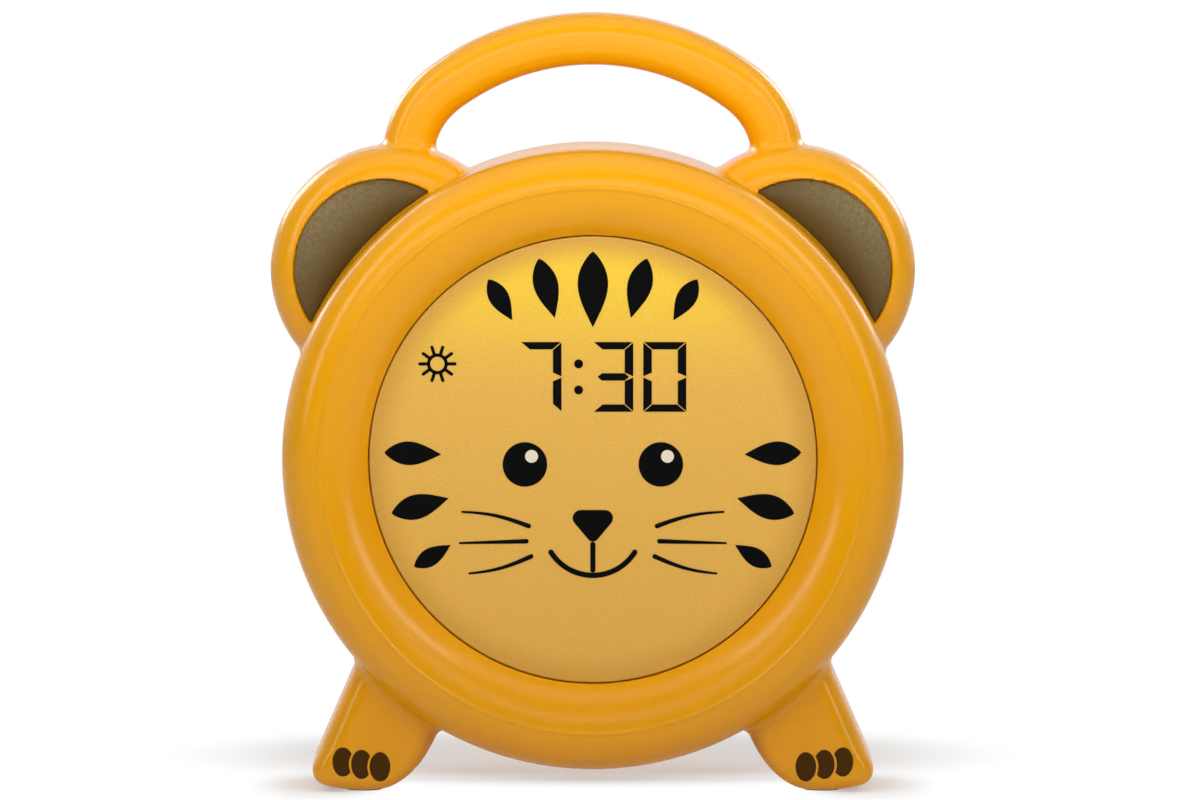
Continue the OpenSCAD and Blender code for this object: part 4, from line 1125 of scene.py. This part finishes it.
def finishes():
    """One material for each finish in the record."""
    plastic = moulded_plastic
    return {
        "orange_abs": orange_abs(),
        "amber_window": amber_acrylic(),
        "brown_inlay": ear_leather(),
        # Toes: ABS moulded in brown, satin
        "brown_toe": plastic("moulded_abs_brown", TOE_LIGHT, TOE_DARK, 0.42, 0.8, 0.01, 1.53,
                             specular_ior_level=0.1),
        # Foot pads: natural rubber, matt and finely pitted
        "black_rubber": plastic("moulded_rubber", "#1F1D1B", "#2A2826", 0.85, 0.5, 0.04, 1.52),
        # Tray and plungers: white ABS that spreads the lamps' light
        "white_plastic": plastic("moulded_abs_white", "#ECECE8", "#E2E2DC", 0.35, 1.5, 0.01, 1.53),
        "opal_diffuser": plastic("opal_acrylic", "#F3F0E4", "#ECE8D8", 0.5, 0.6, 0.01, 1.49,
                                 subsurface_weight=0.3, subsurface_scale=0.002),
        "display_glass": plastic("display_glass", "#9EA886", "#97A27F", 0.08, 3.0, 0.002, 1.52),
        "black_plastic": plastic("moulded_nylon_black", "#1A1A1C", "#222224", 0.5, 0.5, 0.015, 1.53),
        "copper_film": plastic("polyimide_film", "#B86C27", "#A65E20", 0.3, 1.2, 0.004, 1.7),
        "lamp_epoxy": plastic("clear_epoxy", "#FFF0C0", "#F6E3A8", 0.1, 1.0, 0.002, 1.55,
                              transmission_weight=0.4),
        "board_green": solder_mask(),
        "zinc_steel": plated_metal("zinc_plated_steel", "#C4C6CA", "#A9ABB0", 0.34, 0.3),
        "nickel_steel": plated_metal("nickel_plated_steel", "#CFCBC0", "#B7B3A8", 0.26, 0.25),
        "ribbon_grey": flat_cable(),
        "speaker_steel": plastic("blackened_steel", "#242426", "#1C1C1E", 0.4, 0.6, 0.01, 1.5),
        "paper_cone": paper_cone(),
        "foam_gasket": speaker_foam(),
        # Keys: cream ABS with a soft sheen
        "cream_key": plastic("moulded_abs_cream", "#EFE6CF", "#E7DCC2", 0.38, 0.9, 0.012, 1.53),
        "cell_sleeve": plastic("printed_cell_sleeve", "#2C5470", "#274B64", 0.25, 1.5, 0.004, 1.5),
    }


def dress(materials):
    """Gives each node and each new piece its finish."""
    for part in frame["record"]["subparts"]:
        node = frame["nodes"][part["node"]]
        node.data.materials.clear()
        node.data.materials.append(materials[part["material_slot"]])
    ink = print_ink()
    for piece in MADE:
        printed = piece.name in ("face_print", "time_digits", "sun_sign")
        piece.data.materials.clear()
        piece.data.materials.append(ink if printed else materials[piece["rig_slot"]])


# ------------------------------------------------------------------- stage

def show_white(owner, base, output, mirrored, share=None):
    """Adds a plain white of strength 1 that only the camera, reflections and clear
    materials see in place of a shader. mirrored is the share that reflections see, a
    number or a (node, output), and share a node that holds the white back."""
    path = add(owner, "LightPath")
    kind = "Background" if base.type == "BACKGROUND" else "Emission"
    white = add(owner, kind, {"Color": (1, 1, 1, 1), "Strength": 1.0})
    glossy = add(owner, "Math", {0: (path, "Is Glossy Ray"), 1: mirrored}, operation="MULTIPLY")
    seen = add(owner, "Math", {0: (path, "Is Camera Ray"), 1: (glossy, 0)}, use_clamp=True)
    seen = add(owner, "Math", {0: (seen, 0), 1: (path, "Is Transmission Ray")}, use_clamp=True)
    if share:
        seen = add(owner, "Math", {0: (seen, 0), 1: (share, 0)}, operation="MULTIPLY")
    mix = add(owner, "MixShader", {0: (seen, 0), 1: (base, 0), 2: (white, 0)})
    owner.node_tree.links.new(mix.outputs[0], owner.node_tree.nodes[output].inputs["Surface"])


def fade(m, spot, scale, middle, ends):
    """Nodes that rise from a least value near a place on the floor to 1 away from it.
    scale stretches the distance, and ends are where the rise starts and stops."""
    offset = add(m, "VectorMath", {0: spot, 1: scale, 2: middle}, operation="MULTIPLY_ADD")
    reach = add(m, "VectorMath", {0: (offset, 0)}, operation="LENGTH")
    near, far, least = ends
    return add(m, "MapRange", {"Value": (reach, "Value"), "From Min": near, "From Max": far,
                               "To Min": least}, interpolation_type="SMOOTHSTEP")


def floor():
    """Pale floor that fades into the white backdrop away from the clock and its feet."""
    mesh = bpy.data.meshes.new("floor")
    mesh.from_pydata([(-6, -6, 0), (6, -6, 0), (6, 6, 0), (-6, 6, 0)], [], [(0, 1, 2, 3)])
    piece = bpy.data.objects.new("floor", mesh)
    bpy.context.scene.collection.objects.link(piece)
    m = material("matt_white_board", base_color=srgb(FLOOR_WHITE), roughness=0.7)
    spot = add(m, "TexCoord")
    away = fade(m, (spot, "Object"), SHADE_SCALE, (0, -SHADE_BEHIND, 0), SHADE_FADE)
    sides = add(m, "VectorMath", {0: (spot, "Object")}, operation="ABSOLUTE")
    middle = (-FOOT_SHADE*FOOT_SHADE_SCALE[0], 0, 0)
    beside = fade(m, (sides, 0), FOOT_SHADE_SCALE, middle, FOOT_SHADE_FADE)
    least = add(m, "Math", {0: (away, 0), 1: (beside, 0)}, operation="MINIMUM")
    shader = m.node_tree.nodes["Principled BSDF"]
    show_white(m, shader, "Material Output", FLOOR_MIRRORED, least)
    mesh.materials.append(m)


def studio():
    """White all round: dim as light, full white where it is seen."""
    world = bpy.data.worlds.new("studio")
    bpy.context.scene.world = world
    world.use_nodes = True
    light = world.node_tree.nodes["Background"]
    light.inputs["Color"].default_value = (1, 1, 1, 1)
    light.inputs["Strength"].default_value = WORLD_LIGHT
    way = add(world, "TexCoord")
    split = add(world, "SeparateXYZ", {0: (way, "Generated")})
    behind = add(world, "MapRange", {"Value": (split, "Y"), "From Min": -0.3, "From Max": 0.5})
    show_white(world, light, "World Output", (behind, "Result"))


def softbox(name, at, target, size, power, mirrored):
    """An area lamp that the camera doesn't see."""
    light = bpy.data.lights.new(name, "AREA")
    light.shape = "RECTANGLE"
    light.size, light.size_y = size
    light.energy = power
    lamp = bpy.data.objects.new(name, light)
    lamp.location = at
    lamp.visible_camera = False
    lamp.visible_glossy = mirrored
    lamp.rotation_euler = (Vector(target) - Vector(at)).to_track_quat("-Z", "Y").to_euler()
    bpy.context.scene.collection.objects.link(lamp)


def camera():
    """The face seen from a little above through a long lens."""
    target = Vector(AIM)
    view = bpy.data.cameras.new("camera")
    view.sensor_width = FILM_WIDTH
    view.lens = FILM_WIDTH*CAMERA_FAR/VIEW_WIDTH
    piece = bpy.data.objects.new("camera", view)
    piece.location = target + CAMERA_FAR*Vector((0, -math.cos(CAMERA_RISE), math.sin(CAMERA_RISE)))
    piece.rotation_euler = (target - piece.location).to_track_quat("-Z", "Y").to_euler()
    bpy.context.scene.collection.objects.link(piece)
    bpy.context.scene.camera = piece


# ------------------------------------------------------------------- the clock
moulded("front_shell", front_half, (-68, -71, -0.5), (68, 95, 30), "front_housing")
moulded("rear_shell", rear_half, (-68, -71, -30), (68, 95, 0.5), "rear_housing")
bezel()
window()
ear_pad("ear_pad_left", -1, "ear_inlay_left")
ear_pad("ear_pad_right", 1, "ear_inlay_right")
toes("toes_left", -1, "toe_inlays_left")
toes("toes_right", 1, "toe_inlays_right")
face_print()
display_signs()
dress(finishes())

floor()
studio()
for lamp_name, settings in LAMPS.items():
    softbox(lamp_name, *settings)
camera()
bpy.context.scene.view_settings.view_transform = "Standard"
